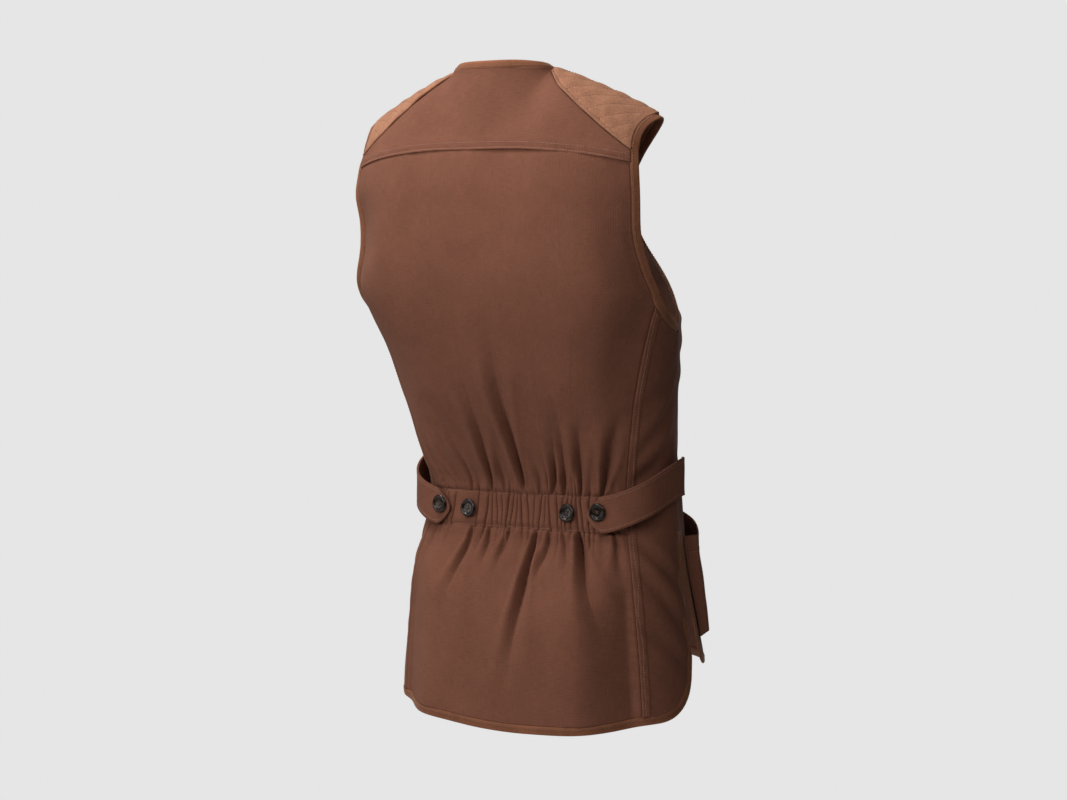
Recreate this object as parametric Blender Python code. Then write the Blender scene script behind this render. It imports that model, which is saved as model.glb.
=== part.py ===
"""Men's shooting vest, filled out as it is worn, in metres with +Z up and the front towards -Y.

The origin lies midway between the two neck points of the shoulder line, where the vest is carried.
Every panel is a wall on one garment form. The form's plan sections are arcs between the centre back,
the side-back seam, the side seam and the centre front, with a row of the LEVELS table for each height.
The left half, at +X, is worked out and the right half mirrors it.
"""

import math
from collections import namedtuple

import bmesh
import bpy
import numpy as np
from mathutils import Vector

# Cloth, seams and edges
CLOTH = 0.0018
SEAM_GAP = 0.0005
LAYER_GAP = 0.0005
BINDING_WIDTH = 0.0105
BINDING_HALF = 0.0017
BINDING_CROWD = 0.0055
NECK_RISE = 0.0086

# Heights, down from the neck points
HEM = -0.7125
HEM_BLEND = -0.620
HEM_SWING = 0.0065
HEM_CENTRE = -0.7255
HEM_LIFT = 0.0140
VENT_CORNER = 0.062
FRONT_HEM = -0.655
VENT_TOP = -0.505
VENT_START = -0.5085
BAND_BOTTOM = -0.505
BAND_TOP = -0.465
BAND_PLEATS = 28
PLEAT_RISE = 0.0020
PLEAT_UNEVEN = 0.25
GATHER_RISE = 0.0010
GATHER_REACH = 0.060
UNDERARM = -0.272
SEAM_HEAD = -0.243
ARM_DROP = 0.0134
ACROSS_BACK = -0.142
CHEST = -0.162
V_TURN = -0.270
V_BOTTOM = -0.288

# Shoulder line
NECK_HALF_WIDTH = 0.064
NECK_DEPTH = 0.035
TIP = (0.1965, -0.0150, -0.0555)
SHOULDER_CROWN = 0.0035
NECK_SHARE = 0.33
PATCH_END = 0.335

# Directions in which the form's columns reach the shoulder line
BACK_NECK_CLIMB = (0.0, -0.050, 0.135)
BACK_RIDGE_NECK = (0.0, -0.150, 0.018)
BACK_RIDGE_TIP = (0.065, -0.100, 0.035)
FRONT_RIDGE_TIP = (0.055, 0.085, 0.045)
FRONT_RIDGE_NECK = (0.008, 0.125, 0.080)
RIDGE_SMOOTHING = 0.16
ARC_REACH = 0.37

# Plan sections: a turn is the heading in degrees from +X towards -Y
Level = namedtuple(
    "Level", "height back_y seam_x seam_y seam_turn side_x side_y side_turn front_y"
)
LEVELS = (
    Level(-0.730, 0.020, 0.1615, -0.0300, 36, 0.1850, -0.0965, 108, -0.214),
    Level(-0.655, 0.016, 0.1570, -0.0300, 38, 0.1805, -0.0965, 108, -0.214),
    Level(-0.600, 0.010, 0.1517, -0.0297, 40, 0.1735, -0.0958, 108, -0.213),
    Level(-0.550, -0.004, 0.1455, -0.0310, 38, 0.1665, -0.0955, 108, -0.211),
    Level(-0.505, -0.025, 0.1340, -0.0405, 31, 0.1605, -0.1000, 108, -0.208),
    Level(-0.465, -0.027, 0.1292, -0.0445, 31, 0.1565, -0.1030, 108, -0.205),
    Level(-0.415, -0.005, 0.1405, -0.0325, 41, 0.1550, -0.1000, 110, -0.204),
    Level(-0.369, 0.019, 0.1520, -0.0230, 47, 0.1600, -0.0900, 112, -0.206),
    Level(-0.303, 0.043, 0.1730, -0.0120, 53, 0.1790, -0.0690, 114, -0.213),
    Level(-0.272, 0.053, 0.1865, -0.0050, 58, 0.1900, -0.0520, 116, -0.216),
    Level(-0.243, 0.060, 0.1980, 0.0000, 60, 0.1990, -0.0400, 116, -0.216),
    Level(-0.214, 0.064, 0.1945, 0.0130, 52, 0.2030, -0.0300, 116, -0.210),
    Level(-0.186, 0.066, 0.1900, 0.0195, 46, 0.2030, -0.0250, 116, -0.200),
    Level(-0.142, 0.066, 0.1892, 0.0216, 42, 0.2030, -0.0250, 116, -0.180),
)

# How far the front's edge swings away from the side panel below the vent's top
Flare = namedtuple("Flare", "height out_x out_y")
FLARES = (
    Flare(-0.730, 0.0080, -0.0110),
    Flare(-0.655, 0.0062, -0.0090),
    Flare(-0.600, 0.0042, -0.0062),
    Flare(-0.550, 0.0020, -0.0030),
    Flare(-0.505, 0.0, 0.0),
)

# Front sections above the underarm, from the armhole edge to the edge of the V
Strap = namedtuple("Strap", "height edge_x edge_y edge_z edge_turn neck_x neck_y neck_z neck_turn")
STRAPS = (
    Strap(-0.258, 0.1790, -0.0650, -0.2580, 120, 0.0110, -0.2130, -0.2650, 178),
    Strap(-0.238, 0.1630, -0.0790, -0.2380, 124, 0.0190, -0.2060, -0.2410, 174),
    Strap(-0.215, 0.1430, -0.0880, -0.2150, 128, 0.0290, -0.1930, -0.2130, 168),
    Strap(-0.190, 0.1270, -0.0850, -0.1920, 130, 0.0375, -0.1770, -0.1830, 164),
    Strap(-0.162, 0.1190, -0.0750, -0.1660, 132, 0.0450, -0.1600, -0.1530, 160),
)

# Heights where the front's sections follow the side seam closely, below the underarm
SEAM_CHECKS = (-0.295, -0.287, -0.279)

# Heights of the grid rows that the panels share at their seams
ROWS = (
    HEM, -0.688, -0.655, -0.620, -0.588, -0.560, -0.540, -0.523, VENT_START, BAND_BOTTOM, -0.495,
    -0.485, -0.475, BAND_TOP, -0.450, -0.433, -0.410, -0.382, -0.350, -0.315, -0.285, -0.257,
)
BACK_ROWS = ROWS + (-0.244, -0.225, -0.190, ACROSS_BACK, -0.117, -0.090)
FRONT_ROWS = ROWS[3:] + (-0.238, -0.215, -0.190, -0.170, -0.150)
FINE_FROM = -0.585
FINE_TO = -0.360

# Folds of the back that run out of the waistband, from foot to head, across -1 to 1 between the seams
BACK_HALF_WIDTH = 0.14
Fold = namedtuple("Fold", "foot_across head_across head_height depth width")
FOLDS = (
    Fold(0.80, 0.93, -0.380, 0.0022, 0.007),
    Fold(0.52, 0.60, -0.360, 0.0024, 0.008),
    Fold(0.25, 0.22, -0.320, 0.0034, 0.009),
    Fold(-0.03, -0.09, -0.250, 0.0034, 0.009),
    Fold(-0.31, -0.42, -0.370, 0.0026, 0.007),
    Fold(-0.47, -0.43, -0.360, 0.0026, 0.008),
    Fold(-0.63, -0.63, -0.360, 0.0026, 0.008),
    Fold(-0.78, -0.98, -0.370, 0.0030, 0.007),
    Fold(0.82, 0.90, -0.570, 0.0022, 0.007),
    Fold(0.47, 0.48, -0.590, 0.0024, 0.008),
    Fold(0.25, 0.28, -0.560, 0.0024, 0.007),
    Fold(-0.14, -0.10, -0.670, 0.0040, 0.009),
    Fold(-0.27, -0.21, -0.570, 0.0024, 0.007),
    Fold(-0.62, -0.75, -0.600, 0.0034, 0.009),
    Fold(-0.86, -0.97, -0.560, 0.0022, 0.007),
)

# Shoulder patches
PATCH_COLUMNS = 14
PATCH_BACK_ROWS = 5
PATCH_FRONT_ROWS = 9
QUILT_RISE = 0.0017
PATCH_CLOTH = 0.0026

# Closure and fronts
OVERLAP = 0.0125
OVERLAP_LIFT = 0.0027
FRONT_COLUMNS = 11

# Bellows pockets, across the front's sections from the side seam
POCKET_NEAR = 0.07
POCKET_FAR = 0.60
POCKET_TOP_NEAR = -0.512
POCKET_TOP_FAR = -0.489
POCKET_BOTTOM = -0.622
POCKET_DEPTH = 0.015
POCKET_SLOPE = 0.004
POCKET_CLOTH = 0.0018
POCKET_SLANTS = (1, 1, 1, -1, -1, -1, -1)
FRONT_SECTION = 0.215

# Waist tabs: plan points from the side seam to the pointed end
TAB_HEIGHT = 0.041
TAB_CLOTH = 0.0026
TAB_ROOT_Z = -0.4445
TAB_TIP_Z = -0.4855
TAB_POINT = 0.014
TAB_SEAM = (0.1582, -0.1130)
TAB_ROOT = (0.1640, -0.1055)
TAB_END = (0.0925, -0.0213)
TAB_LEFT_RISE = 0.006
TAB_LEAVE = (0.004, 0.075)
TAB_ARRIVE = (0.052, -0.006)

# Buttons of polished horn
BUTTON_RADIUS = 0.010
BUTTON_THICKNESS = 0.0036
BUTTON_SEGMENTS = 16
BUTTON_SEAT = 0.0004
BAND_BUTTON_X = 0.0665
BAND_BUTTON_Z = -0.485
TAB_BUTTON_X = 0.1065
TAB_BUTTON_Z = -0.4815
FRONT_BUTTON_HEIGHTS = (-0.305, -0.377, -0.449, -0.521, -0.593)

LEFT = 1.0
RIGHT = -1.0
HANDS = (("left", LEFT), ("right", RIGHT))

Skin = namedtuple("Skin", "points outward")
Finish = namedtuple("Finish", "name colour roughness")
CANVAS = Finish("brown_canvas", (0.165, 0.072, 0.046), 0.85)
SUEDE = Finish("tan_suede", (0.36, 0.165, 0.095), 0.90)
EDGING = Finish("rust_suede", (0.24, 0.095, 0.050), 0.88)
HORN = Finish("dark_horn", (0.020, 0.014, 0.012), 0.30)


def blend(value, low, high):
    """Smooth step of value from 0 at low to 1 at high."""
    t = np.clip((np.asarray(value, float) - low) / (high - low), 0.0, 1.0)
    return t * t * (3.0 - 2.0 * t)


def unit(vectors):
    """Vectors scaled to length 1."""
    return vectors / np.maximum(np.linalg.norm(vectors, axis=-1), 1e-9)[..., None]


def through(knots, table, at):
    """Rows of a smooth curve that passes through the table's rows at the knots."""
    knots = np.asarray(knots, float)
    table = np.asarray(table, float)
    at = np.clip(np.asarray(at, float), knots[0], knots[-1])
    slopes = np.gradient(table, knots, axis=0)
    index = np.clip(np.searchsorted(knots, at) - 1, 0, len(knots) - 2)
    span = (knots[index + 1] - knots[index])[..., None]
    t = (at[..., None] - knots[index][..., None]) / span
    rise = t * t * (3.0 - 2.0 * t)
    start = table[index] * (1.0 - rise) + table[index + 1] * rise
    leave = (t - 2.0 * t**2 + t**3) * span * slopes[index]
    arrive = (t**3 - t**2) * span * slopes[index + 1]
    return start + leave + arrive


def heading(degrees):
    """Plan direction of a turn from +X towards -Y."""
    angle = np.radians(degrees)
    return np.stack([np.cos(angle), -np.sin(angle)], axis=-1)


def arc(start, start_turn, end, end_turn, t):
    """Plan points of a cubic arc that leaves and arrives at the two headings."""
    reach = ARC_REACH * np.linalg.norm(end - start, axis=-1)[..., None]
    first = start + reach * heading(start_turn)
    second = end - reach * heading(end_turn)
    t = t[..., None]
    s = 1.0 - t
    return s**3 * start + 3.0 * s * s * t * first + 3.0 * s * t * t * second + t**3 * end


def column(start, leave, end, arrive, q):
    """Points of a cubic that leaves the start and arrives at the end with the two tangents."""
    q = q[..., None]
    return (
        (2 * q**3 - 3 * q**2 + 1) * start
        + (q**3 - 2 * q**2 + q) * leave
        + (3 * q**2 - 2 * q**3) * end
        + (q**3 - q**2) * arrive
    )


def with_height(plan, height):
    """Plan points with their heights."""
    return np.concatenate([plan, np.asarray(height, float)[..., None]], axis=-1)


def ring(part, t, height):
    """Points of the plan section at a height: part 0 is the back and part 1 the side."""
    rows = through([row.height for row in LEVELS], [row[1:] for row in LEVELS], height)
    back_y, seam_x, seam_y, seam_turn, side_x, side_y, side_turn = np.moveaxis(rows, -1, 0)[:7]
    zero = np.zeros_like(back_y)
    seam = np.stack([seam_x, seam_y], axis=-1)
    if part == 0:
        plan = arc(np.stack([zero, back_y], axis=-1), zero, seam, seam_turn, t)
    else:
        plan = arc(seam, seam_turn, np.stack([side_x, side_y], axis=-1), side_turn, t)
    return with_height(plan, height)


def shoulder_top(share):
    """Top edge of the form: the back neckline up to NECK_SHARE, then the shoulder line to its tip."""
    quarter = np.clip(share / NECK_SHARE, -1.0, 1.0) * math.pi / 2
    along = np.maximum((share - NECK_SHARE) / (1.0 - NECK_SHARE), 0.0)
    x = NECK_HALF_WIDTH * np.sin(quarter) + (TIP[0] - NECK_HALF_WIDTH) * along
    y = NECK_DEPTH * np.cos(quarter) + TIP[1] * along
    z = TIP[2] * along + SHOULDER_CROWN * 4.0 * along * (1.0 - along)
    return np.stack([x, y, z], axis=-1)


def back_form(across, height):
    """Points of the back, across -1 to 1 between its edges, up to the shoulder line at height 0."""
    across, height = np.broadcast_arrays(np.asarray(across, float), np.asarray(height, float))
    share = np.abs(across)
    level = np.full_like(share, ACROSS_BACK)
    base = ring(0, share, level)
    leave = (base - ring(0, share, level - 0.01)) / 0.01 * abs(ACROSS_BACK)
    over = blend(share, 0.3 * NECK_SHARE, 1.5 * NECK_SHARE)[..., None]
    outward = np.clip((share - NECK_SHARE) / (1.0 - NECK_SHARE), 0.0, 1.0)[..., None]
    ridge = np.array(BACK_RIDGE_NECK) * (1.0 - outward) + np.array(BACK_RIDGE_TIP) * outward
    arrive = np.array(BACK_NECK_CLIMB) * (1.0 - over) + ridge * over
    q = np.clip((height - ACROSS_BACK) / abs(ACROSS_BACK), 0.0, 1.0)
    window = RIDGE_SMOOTHING * (1.0 - q)
    top = 0.5 * shoulder_top(share) + 0.25 * (shoulder_top(share - window) + shoulder_top(share + window))
    high = column(base, leave, top, arrive, q)
    low = ring(0, share, np.minimum(height, ACROSS_BACK))
    points = np.where((height > ACROSS_BACK)[..., None], high, low)
    points[..., 0] *= np.sign(across)
    return points


def side_form(t, height):
    """Points of the side, from the side-back seam at 0 to the side seam at 1."""
    t, height = np.broadcast_arrays(np.asarray(t, float), np.asarray(height, float))
    return ring(1, t, height)


def strap_table():
    """Heights and rows of the front's sections: edge point, its turn, neck point and its turn."""
    heights = sorted([row.height for row in LEVELS if row.height <= UNDERARM] + list(SEAM_CHECKS))
    flares = through([row.height for row in FLARES], [row[1:] for row in FLARES], heights)
    rows = []
    for height, flare in zip(heights, flares):
        side_x, side_y, side_turn, front_y = through(
            [row.height for row in LEVELS], [row[5:] for row in LEVELS], height
        )
        rows.append((side_x + flare[0], side_y + flare[1], height, side_turn, 0.0, front_y, height, 180.0))
    return heights + [row.height for row in STRAPS], rows + [row[1:] for row in STRAPS]


def front_rows(t, height):
    """Points of the front's sections; past the neck edge they run on straight."""
    heights, rows = strap_table()
    at = np.moveaxis(through(heights, rows, height), -1, 0)
    edge = np.stack([at[0], at[1]], axis=-1)
    neck = np.stack([at[4], at[5]], axis=-1)
    inside = np.clip(t, 0.0, 1.0)
    plan = arc(edge, at[3], neck, at[7], inside)
    past = (t - inside)[..., None] * np.linalg.norm(neck - edge, axis=-1)[..., None]
    plan = plan + past * heading(at[7])
    return with_height(plan, at[2] + (at[6] - at[2]) * inside)


def front_form(t, height):
    """Points of the front from the armhole or side seam at 0 to the V or centre at 1."""
    t, height = np.broadcast_arrays(np.asarray(t, float), np.asarray(height, float))
    low = front_rows(t, np.minimum(height, CHEST))
    level = np.full_like(t, CHEST)
    base = front_rows(t, level)
    leave = (base - front_rows(t, level - 0.01)) / 0.01 * abs(CHEST)
    inward = np.clip(t, 0.0, 1.0)
    share = inward[..., None]
    arrive = np.array(FRONT_RIDGE_TIP) * (1.0 - share) + np.array(FRONT_RIDGE_NECK) * share
    top = shoulder_top(1.0 - inward * (1.0 - NECK_SHARE))
    q = np.clip((height - CHEST) / abs(CHEST), 0.0, 1.0)
    high = column(base, leave, top, arrive, q)
    return np.where((height > CHEST)[..., None], high, low)


def skin(form, across, height):
    """Points of a form and its outward normals."""
    across, height = np.broadcast_arrays(np.asarray(across, float), np.asarray(height, float))
    step = 0.003
    least = -1.0 if form is back_form else 0.0
    up = form(across, np.minimum(height + step, 0.0)) - form(across, height - step)
    ahead = form(np.minimum(across + step, 1.0), height)
    along = ahead - form(np.maximum(np.minimum(across, 1.0) - step, least), height)
    return Skin(form(across, height), unit(np.cross(up, along)))


def lifted(surface, lift):
    """Skin moved out along its normals."""
    lift = np.broadcast_to(lift, surface.points.shape[:-1])[..., None]
    return Skin(surface.points + surface.outward * lift, surface.outward)


def mirrored(surface, hand):
    """Skin of the left half, or its mirror for the right half."""
    flip = np.array([hand, 1.0, 1.0])
    return Skin(surface.points * flip, surface.outward * flip)


def joined(skins):
    """One skin from several that follow each other along the first axis."""
    return Skin(
        np.concatenate([one.points for one in skins]), np.concatenate([one.outward for one in skins])
    )


def picked(surface, index):
    """Part of a skin by an index into its grid."""
    return Skin(surface.points[index], surface.outward[index])


def height_at(across, level):
    """Height coordinate at which the back's form reaches a real level."""
    across, level = np.broadcast_arrays(np.asarray(across, float), np.asarray(level, float))
    low = np.full(across.shape, ACROSS_BACK)
    high = np.zeros(across.shape)
    for _ in range(22):
        middle = (low + high) / 2
        above = back_form(across, middle)[..., 2] > level
        high = np.where(above, middle, high)
        low = np.where(above, low, middle)
    return low


def yoke_line(across):
    """Height coordinate of the yoke seam, a little lower towards the armholes."""
    share = np.abs(np.asarray(across, float))
    return height_at(share, -0.0888 - 0.0170 * share**2.5)


def patch_line(share):
    """Height coordinate of the patch's back seam, from the neck point to the armhole."""
    along = np.clip((np.asarray(share, float) - NECK_SHARE) / (1.0 - NECK_SHARE), 0.0, 1.0)
    return height_at(share, -0.0035 - 0.0895 * along**0.95)


def binding_share(form, at_edge, height):
    """Part of a section that the binding's width takes at an edge, measured square to that edge."""
    step = 0.004
    inward = -1.0 if at_edge > 0.5 else 1.0
    along = (form(at_edge + inward * step, height) - form(at_edge, height)) / step
    up = unit(form(at_edge, height + step) - form(at_edge, height - step))
    square = along - np.sum(along * up, axis=-1)[..., None] * up
    return BINDING_WIDTH / np.linalg.norm(square, axis=-1)


def back_edge(height):
    """Across value of the back's edge: the side-back seam, then inside the armhole binding."""
    height = np.asarray(height, float)
    taken = binding_share(back_form, 1.0, np.clip(height, SEAM_HEAD, -0.006))
    return 1.0 - taken * blend(height, SEAM_HEAD - ARM_DROP, SEAM_HEAD + 0.004)


def front_edge(height):
    """Section value of the front's edge: the side seam, then inside the armhole binding."""
    height = np.asarray(height, float)
    taken = binding_share(front_form, 0.0, np.clip(height, UNDERARM + 0.012, -0.006))
    return taken * blend(height, UNDERARM - ARM_DROP, UNDERARM + 0.012)


def armhole_base(t):
    """Height of the armhole edge over the side panel, from the side-back seam to the side seam."""
    return SEAM_HEAD + (UNDERARM - SEAM_HEAD) * np.sin(np.asarray(t, float) * math.pi / 2)


def arm_dip(level):
    """How far the rows under the arm dip at the side seam to meet the armhole's lowest point."""
    dip = UNDERARM - ARM_DROP - ROWS[-1]
    return dip * np.interp(level, (ROWS[-4], ROWS[-1], -0.190), (0.0, 1.0, 0.0))


def back_hem(across):
    """Height of the back's lower edge, raised at the seams and swung up a little at the left."""
    across = np.asarray(across, float)
    return HEM_CENTRE + HEM_LIFT * np.abs(across) ** 3 + HEM_SWING * blend(across, -0.15, 0.60)


def side_hem(t, hand):
    """Height of the side panel's lower edge with its rounded corner beside the vent."""
    t = np.asarray(t, float)
    corner = np.clip((t - 0.30) / 0.70, 0.0, 1.0)
    return back_hem(hand) + 0.006 * t + VENT_CORNER * (1.0 - np.sqrt(1.0 - 0.98 * corner**2))


def section_length(form, height):
    """Straight length of a form's section."""
    return np.linalg.norm(form(1.0, height) - form(0.0, height), axis=-1)


def fold_relief(across, height):
    """Outward relief of the back's large folds: a trough between two low shoulders for each."""
    relief = np.zeros(np.broadcast(across, height).shape)
    for fold in FOLDS:
        foot = BAND_TOP if fold.head_height > BAND_TOP else BAND_BOTTOM
        t = (height - foot) / (fold.head_height - foot)
        strength = blend(t, 0.0, 0.08) * (1.0 - blend(t, 0.35, 1.0))
        reach = np.clip(t, 0.0, 1.0)
        middle = fold.foot_across + (fold.head_across - fold.foot_across) * reach
        offset = (across - middle) * BACK_HALF_WIDTH / (fold.width * (1.0 + 0.6 * reach))
        relief -= fold.depth * strength * (1.0 - 1.2 * offset**2) * np.exp(-(offset**2))
    return relief


def gather_relief(index, height):
    """Outward relief of the small gathers above and below the waistband, by column index."""
    over = np.maximum(height - BAND_TOP, 0.0) + np.maximum(BAND_BOTTOM - height, 0.0)
    fade = blend(over, 0.0, 0.004) * np.clip(1.0 - over / GATHER_REACH, 0.0, 1.0) ** 1.5
    return GATHER_RISE * fade * np.where(index % 2 == 1, 1.0, -1.0)


def material(finish):
    """Principled material of a finish, made once."""
    known = bpy.data.materials.get(finish.name)
    if known:
        return known
    made = bpy.data.materials.new(finish.name)
    made.use_nodes = True
    shader = made.node_tree.nodes["Principled BSDF"]
    shader.inputs["Base Color"].default_value = (*finish.colour, 1.0)
    shader.inputs["Roughness"].default_value = finish.roughness
    made.diffuse_color = (*finish.colour, 1.0)
    return made


def add_object(name, bm, finish, collection):
    """Object from a closed bmesh, with its faces turned out and shaded smooth."""
    bmesh.ops.recalc_face_normals(bm, faces=bm.faces)
    mesh = bpy.data.meshes.new(name)
    bm.to_mesh(mesh)
    bm.free()
    mesh.shade_smooth()
    mesh.set_sharp_from_angle(angle=math.radians(40))
    mesh.materials.append(material(finish))
    made = bpy.data.objects.new(name, mesh)
    collection.objects.link(made)
    return made


def strip_faces(bm, low, high, slant):
    """Triangles between two rows of points; a row may leave out every second point with None."""
    columns = range(len(low))
    low_at = [i for i in columns if low[i]]
    high_at = [i for i in columns if high[i]]
    if len(low_at) == len(high_at):
        for i, k in zip(low_at, low_at[1:]):
            a, b, c, d = low[i], low[k], high[k], high[i]
            corners = ((a, b, c), (a, c, d)) if slant[i] > 0 else ((a, b, d), (b, c, d))
            for corner in corners:
                bm.faces.new(corner)
        return
    sparse, dense = (low, high) if len(low_at) < len(high_at) else (high, low)
    for i in range(0, len(dense) - 1, 2):
        middle, last = i + 1, i + 2
        bm.faces.new((sparse[i], dense[i], dense[middle]))
        bm.faces.new((sparse[i], dense[middle], sparse[last]))
        bm.faces.new((sparse[last], dense[middle], dense[last]))


def wall(name, outer, inner, finish, collection, slant=1, closed=False, sparse=()):
    """Closed wall between an outer and an inner grid of points, rows by columns.

    The quads are split along one diagonal, which slant turns, for all columns or for each. A closed
    wall's last column joins its first. The rows named in sparse use every second column only.
    """
    rows, columns = outer.shape[:2]
    slant = np.broadcast_to(slant, columns)
    bm = bmesh.new()
    skins = []
    for grid in (outer, inner):
        lines = []
        for j in range(rows):
            keep = 2 if j in sparse else 1
            line = [bm.verts.new(grid[j, i]) if i % keep == 0 else None for i in range(columns)]
            lines.append(line + line[:1] if closed else line)
        skins.append(lines)
    for lines in skins:
        for low, high in zip(lines, lines[1:]):
            strip_faces(bm, low, high, slant)
    out, into = skins
    for j in (0, rows - 1):
        strip_faces(bm, out[j], into[j], slant)
    if not closed:
        for i in (0, columns - 1):
            strip_faces(bm, [line[i] for line in out], [line[i] for line in into], np.ones(rows))
    return add_object(name, bm, finish, collection)


def panel(name, surface, finish, collection, cloth=CLOTH, relief=0.0, slant=1, sparse=()):
    """Wall of a cloth's thickness on a skin, with a relief added to its outer side."""
    outer = lifted(surface, relief + cloth / 2).points
    inner = lifted(surface, -cloth / 2).points
    return wall(name, outer, inner, finish, collection, slant, sparse=sparse)


def back_skin():
    """Back panel from the hem binding to the yoke seam, gathered at the waist, and its sparse rows."""
    columns = 2 * BAND_PLEATS
    spread = np.linspace(-1.0, 1.0, columns + 1)[None, :]
    levels = np.asarray(BACK_ROWS)[:, None]
    low = back_hem(spread) + BINDING_WIDTH + SEAM_GAP
    high = yoke_line(spread) - SEAM_GAP / 2
    falling = np.clip((HEM_BLEND - levels) / (HEM_BLEND - HEM), 0.0, 1.0)
    rising = np.clip((levels - ACROSS_BACK) / (BACK_ROWS[-1] - ACROSS_BACK), 0.0, 1.0)
    height = levels + falling * (low - HEM) + rising * (high - BACK_ROWS[-1])
    edge = back_edge(height) - SEAM_GAP / 2 / section_length(back_form, height)
    across = spread * edge
    relief = fold_relief(across, height) + gather_relief(np.arange(columns + 1)[None, :], height)
    relief = relief * (1.0 - blend(np.abs(spread), 0.93, 0.99))
    sparse = [j for j, level in enumerate(BACK_ROWS) if not FINE_FROM < level < FINE_TO]
    return lifted(skin(back_form, across, height), relief), sparse


def patch_shares():
    """Shares of the patch's columns, from the armhole edge at 1 to the neck point."""
    return np.linspace(1.0, PATCH_END, PATCH_COLUMNS + 1)


def narrowed(share, height):
    """Share on the back drawn in so that the armhole's end leaves room for the binding."""
    reach = back_edge(height)
    beyond = np.maximum(share - NECK_SHARE, 0.0)
    return share - beyond * (1.0 - reach) / (1.0 - NECK_SHARE)


def yoke_skin():
    """Yoke between the shoulder patches, from its seam to the neckline."""
    rows = 5
    neck = np.linspace(0.0, PATCH_END - 0.004, 7)
    half = np.concatenate([neck[1:], patch_shares()[::-1]])
    spread = np.concatenate([-half[::-1], [0.0], half])[None, :]
    share = np.abs(spread)
    low = yoke_line(spread) + SEAM_GAP / 2
    high = np.where(share < PATCH_END - 0.003, -SEAM_GAP, patch_line(share) - 1.2 * SEAM_GAP)
    height = low + (high - low) * np.linspace(0.0, 1.0, rows)[:, None]
    return skin(back_form, np.sign(spread) * narrowed(share, height), height)


def side_skin(hand):
    """Narrow side panel from the armhole to the rounded hem corner."""
    spread = np.array([0.0, 0.2, 0.4, 0.6, 0.75, 0.88, 0.96, 1.0])[None, :]
    levels = np.asarray(ROWS)[:, None]
    low = side_hem(spread, hand) + BINDING_WIDTH + SEAM_GAP
    falling = np.clip((HEM_BLEND - levels) / (HEM_BLEND - HEM), 0.0, 1.0)
    high = armhole_base(spread) - ARM_DROP - 3.0 * SEAM_GAP * (1.0 - spread) ** 4
    rising = np.clip((levels - ROWS[-4]) / (ROWS[-1] - ROWS[-4]), 0.0, 1.0)
    height = levels + falling * (low - HEM) + rising * (high - ROWS[-1])
    share = SEAM_GAP / 2 / section_length(side_form, height)
    vent = blend(-height, -VENT_TOP, -VENT_START) * BINDING_WIDTH / section_length(side_form, height)
    return mirrored(skin(side_form, share + spread * (1.0 - 2.0 * share - vent), height), hand)


def front_lift(points, hand):
    """Outward lift that lays the left front over the right at the centre."""
    near = 1.0 - blend(points[..., 0], 0.022, 0.075)
    low = 1.0 - blend(points[..., 2], -0.262, -0.200)
    return hand * OVERLAP_LIFT * near * low


def front_skin(hand):
    """Front from its hem to the patch seam."""
    spread = np.linspace(0.0, 1.0, FRONT_COLUMNS + 1)[None, :]
    levels = np.asarray(FRONT_ROWS)[:, None]
    height = levels + arm_dip(levels) * (1.0 - spread) ** 2
    height[0] = FRONT_HEM + BINDING_WIDTH + SEAM_GAP
    height[-1] -= SEAM_GAP / 2
    length = section_length(front_form, height)
    vent = blend(-height, -VENT_TOP, -VENT_START)
    near = front_edge(height) + (SEAM_GAP / 2 + vent * BINDING_WIDTH) / length
    lap = np.clip((V_TURN - height) / (V_TURN - V_BOTTOM), 0.0, 1.0)
    far = 1.0 + (lap * (OVERLAP + SEAM_GAP) - SEAM_GAP) / length
    surface = skin(front_form, near + (far - near) * spread, height)
    return mirrored(lifted(surface, front_lift(surface.points, hand)), hand)


def patch_skin():
    """Shoulder patch from its back seam over the shoulder line to its front seam."""
    share = patch_shares()[None, :]
    along = np.linspace(0.0, 1.0, PATCH_COLUMNS + 1)[None, :]
    climb = np.linspace(0.0, 1.0, PATCH_BACK_ROWS + 1)[:, None]
    back_height = (patch_line(share) + SEAM_GAP / 2) * (1.0 - climb)
    back = skin(back_form, narrowed(share, back_height), back_height)
    fall = np.linspace(0.0, 1.0, PATCH_FRONT_ROWS + 1)[:, None]
    front_height = (FRONT_ROWS[-1] + SEAM_GAP / 2) * fall + 0.0 * along
    length = section_length(front_form, front_height)
    near = front_edge(front_height) + SEAM_GAP / 2 / length
    far = 1.0 - SEAM_GAP / length
    front = skin(front_form, near + (far - near) * along, front_height)
    ridge = Skin(front.points[:1], unit(back.outward[-1:] + front.outward[:1]))
    return joined([picked(back, slice(0, -1)), ridge, picked(front, slice(1, None))])


def build_patches(surface, collection):
    """Quilted suede patches; the rolls of the quilting run aslant over the shoulder."""
    rows, columns = surface.points.shape[:2]
    row = np.arange(rows)[:, None]
    col = np.arange(columns)[None, :]
    rolls = ((row + col) % 2).astype(float)
    rim = (row > 0) * (row < rows - 1) * (col > 0) * (col < columns - 1)
    for side, hand in HANDS:
        panel(
            "shoulder_patch_" + side, mirrored(surface, hand), SUEDE, collection,
            cloth=PATCH_CLOTH, relief=QUILT_RISE * rolls * rim, slant=-1,
        )


def band_relief(index, spread):
    """Height of the waistband's pleats by column, uneven, and pressed flat under the tabs."""
    uneven = 1.0 + PLEAT_UNEVEN * np.sin(index * 2.3)
    flat = 1.0 - 0.75 * blend(np.abs(spread), 0.66, 0.76)
    return np.where(index % 2 == 1, PLEAT_RISE, 0.0) * uneven * flat


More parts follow.
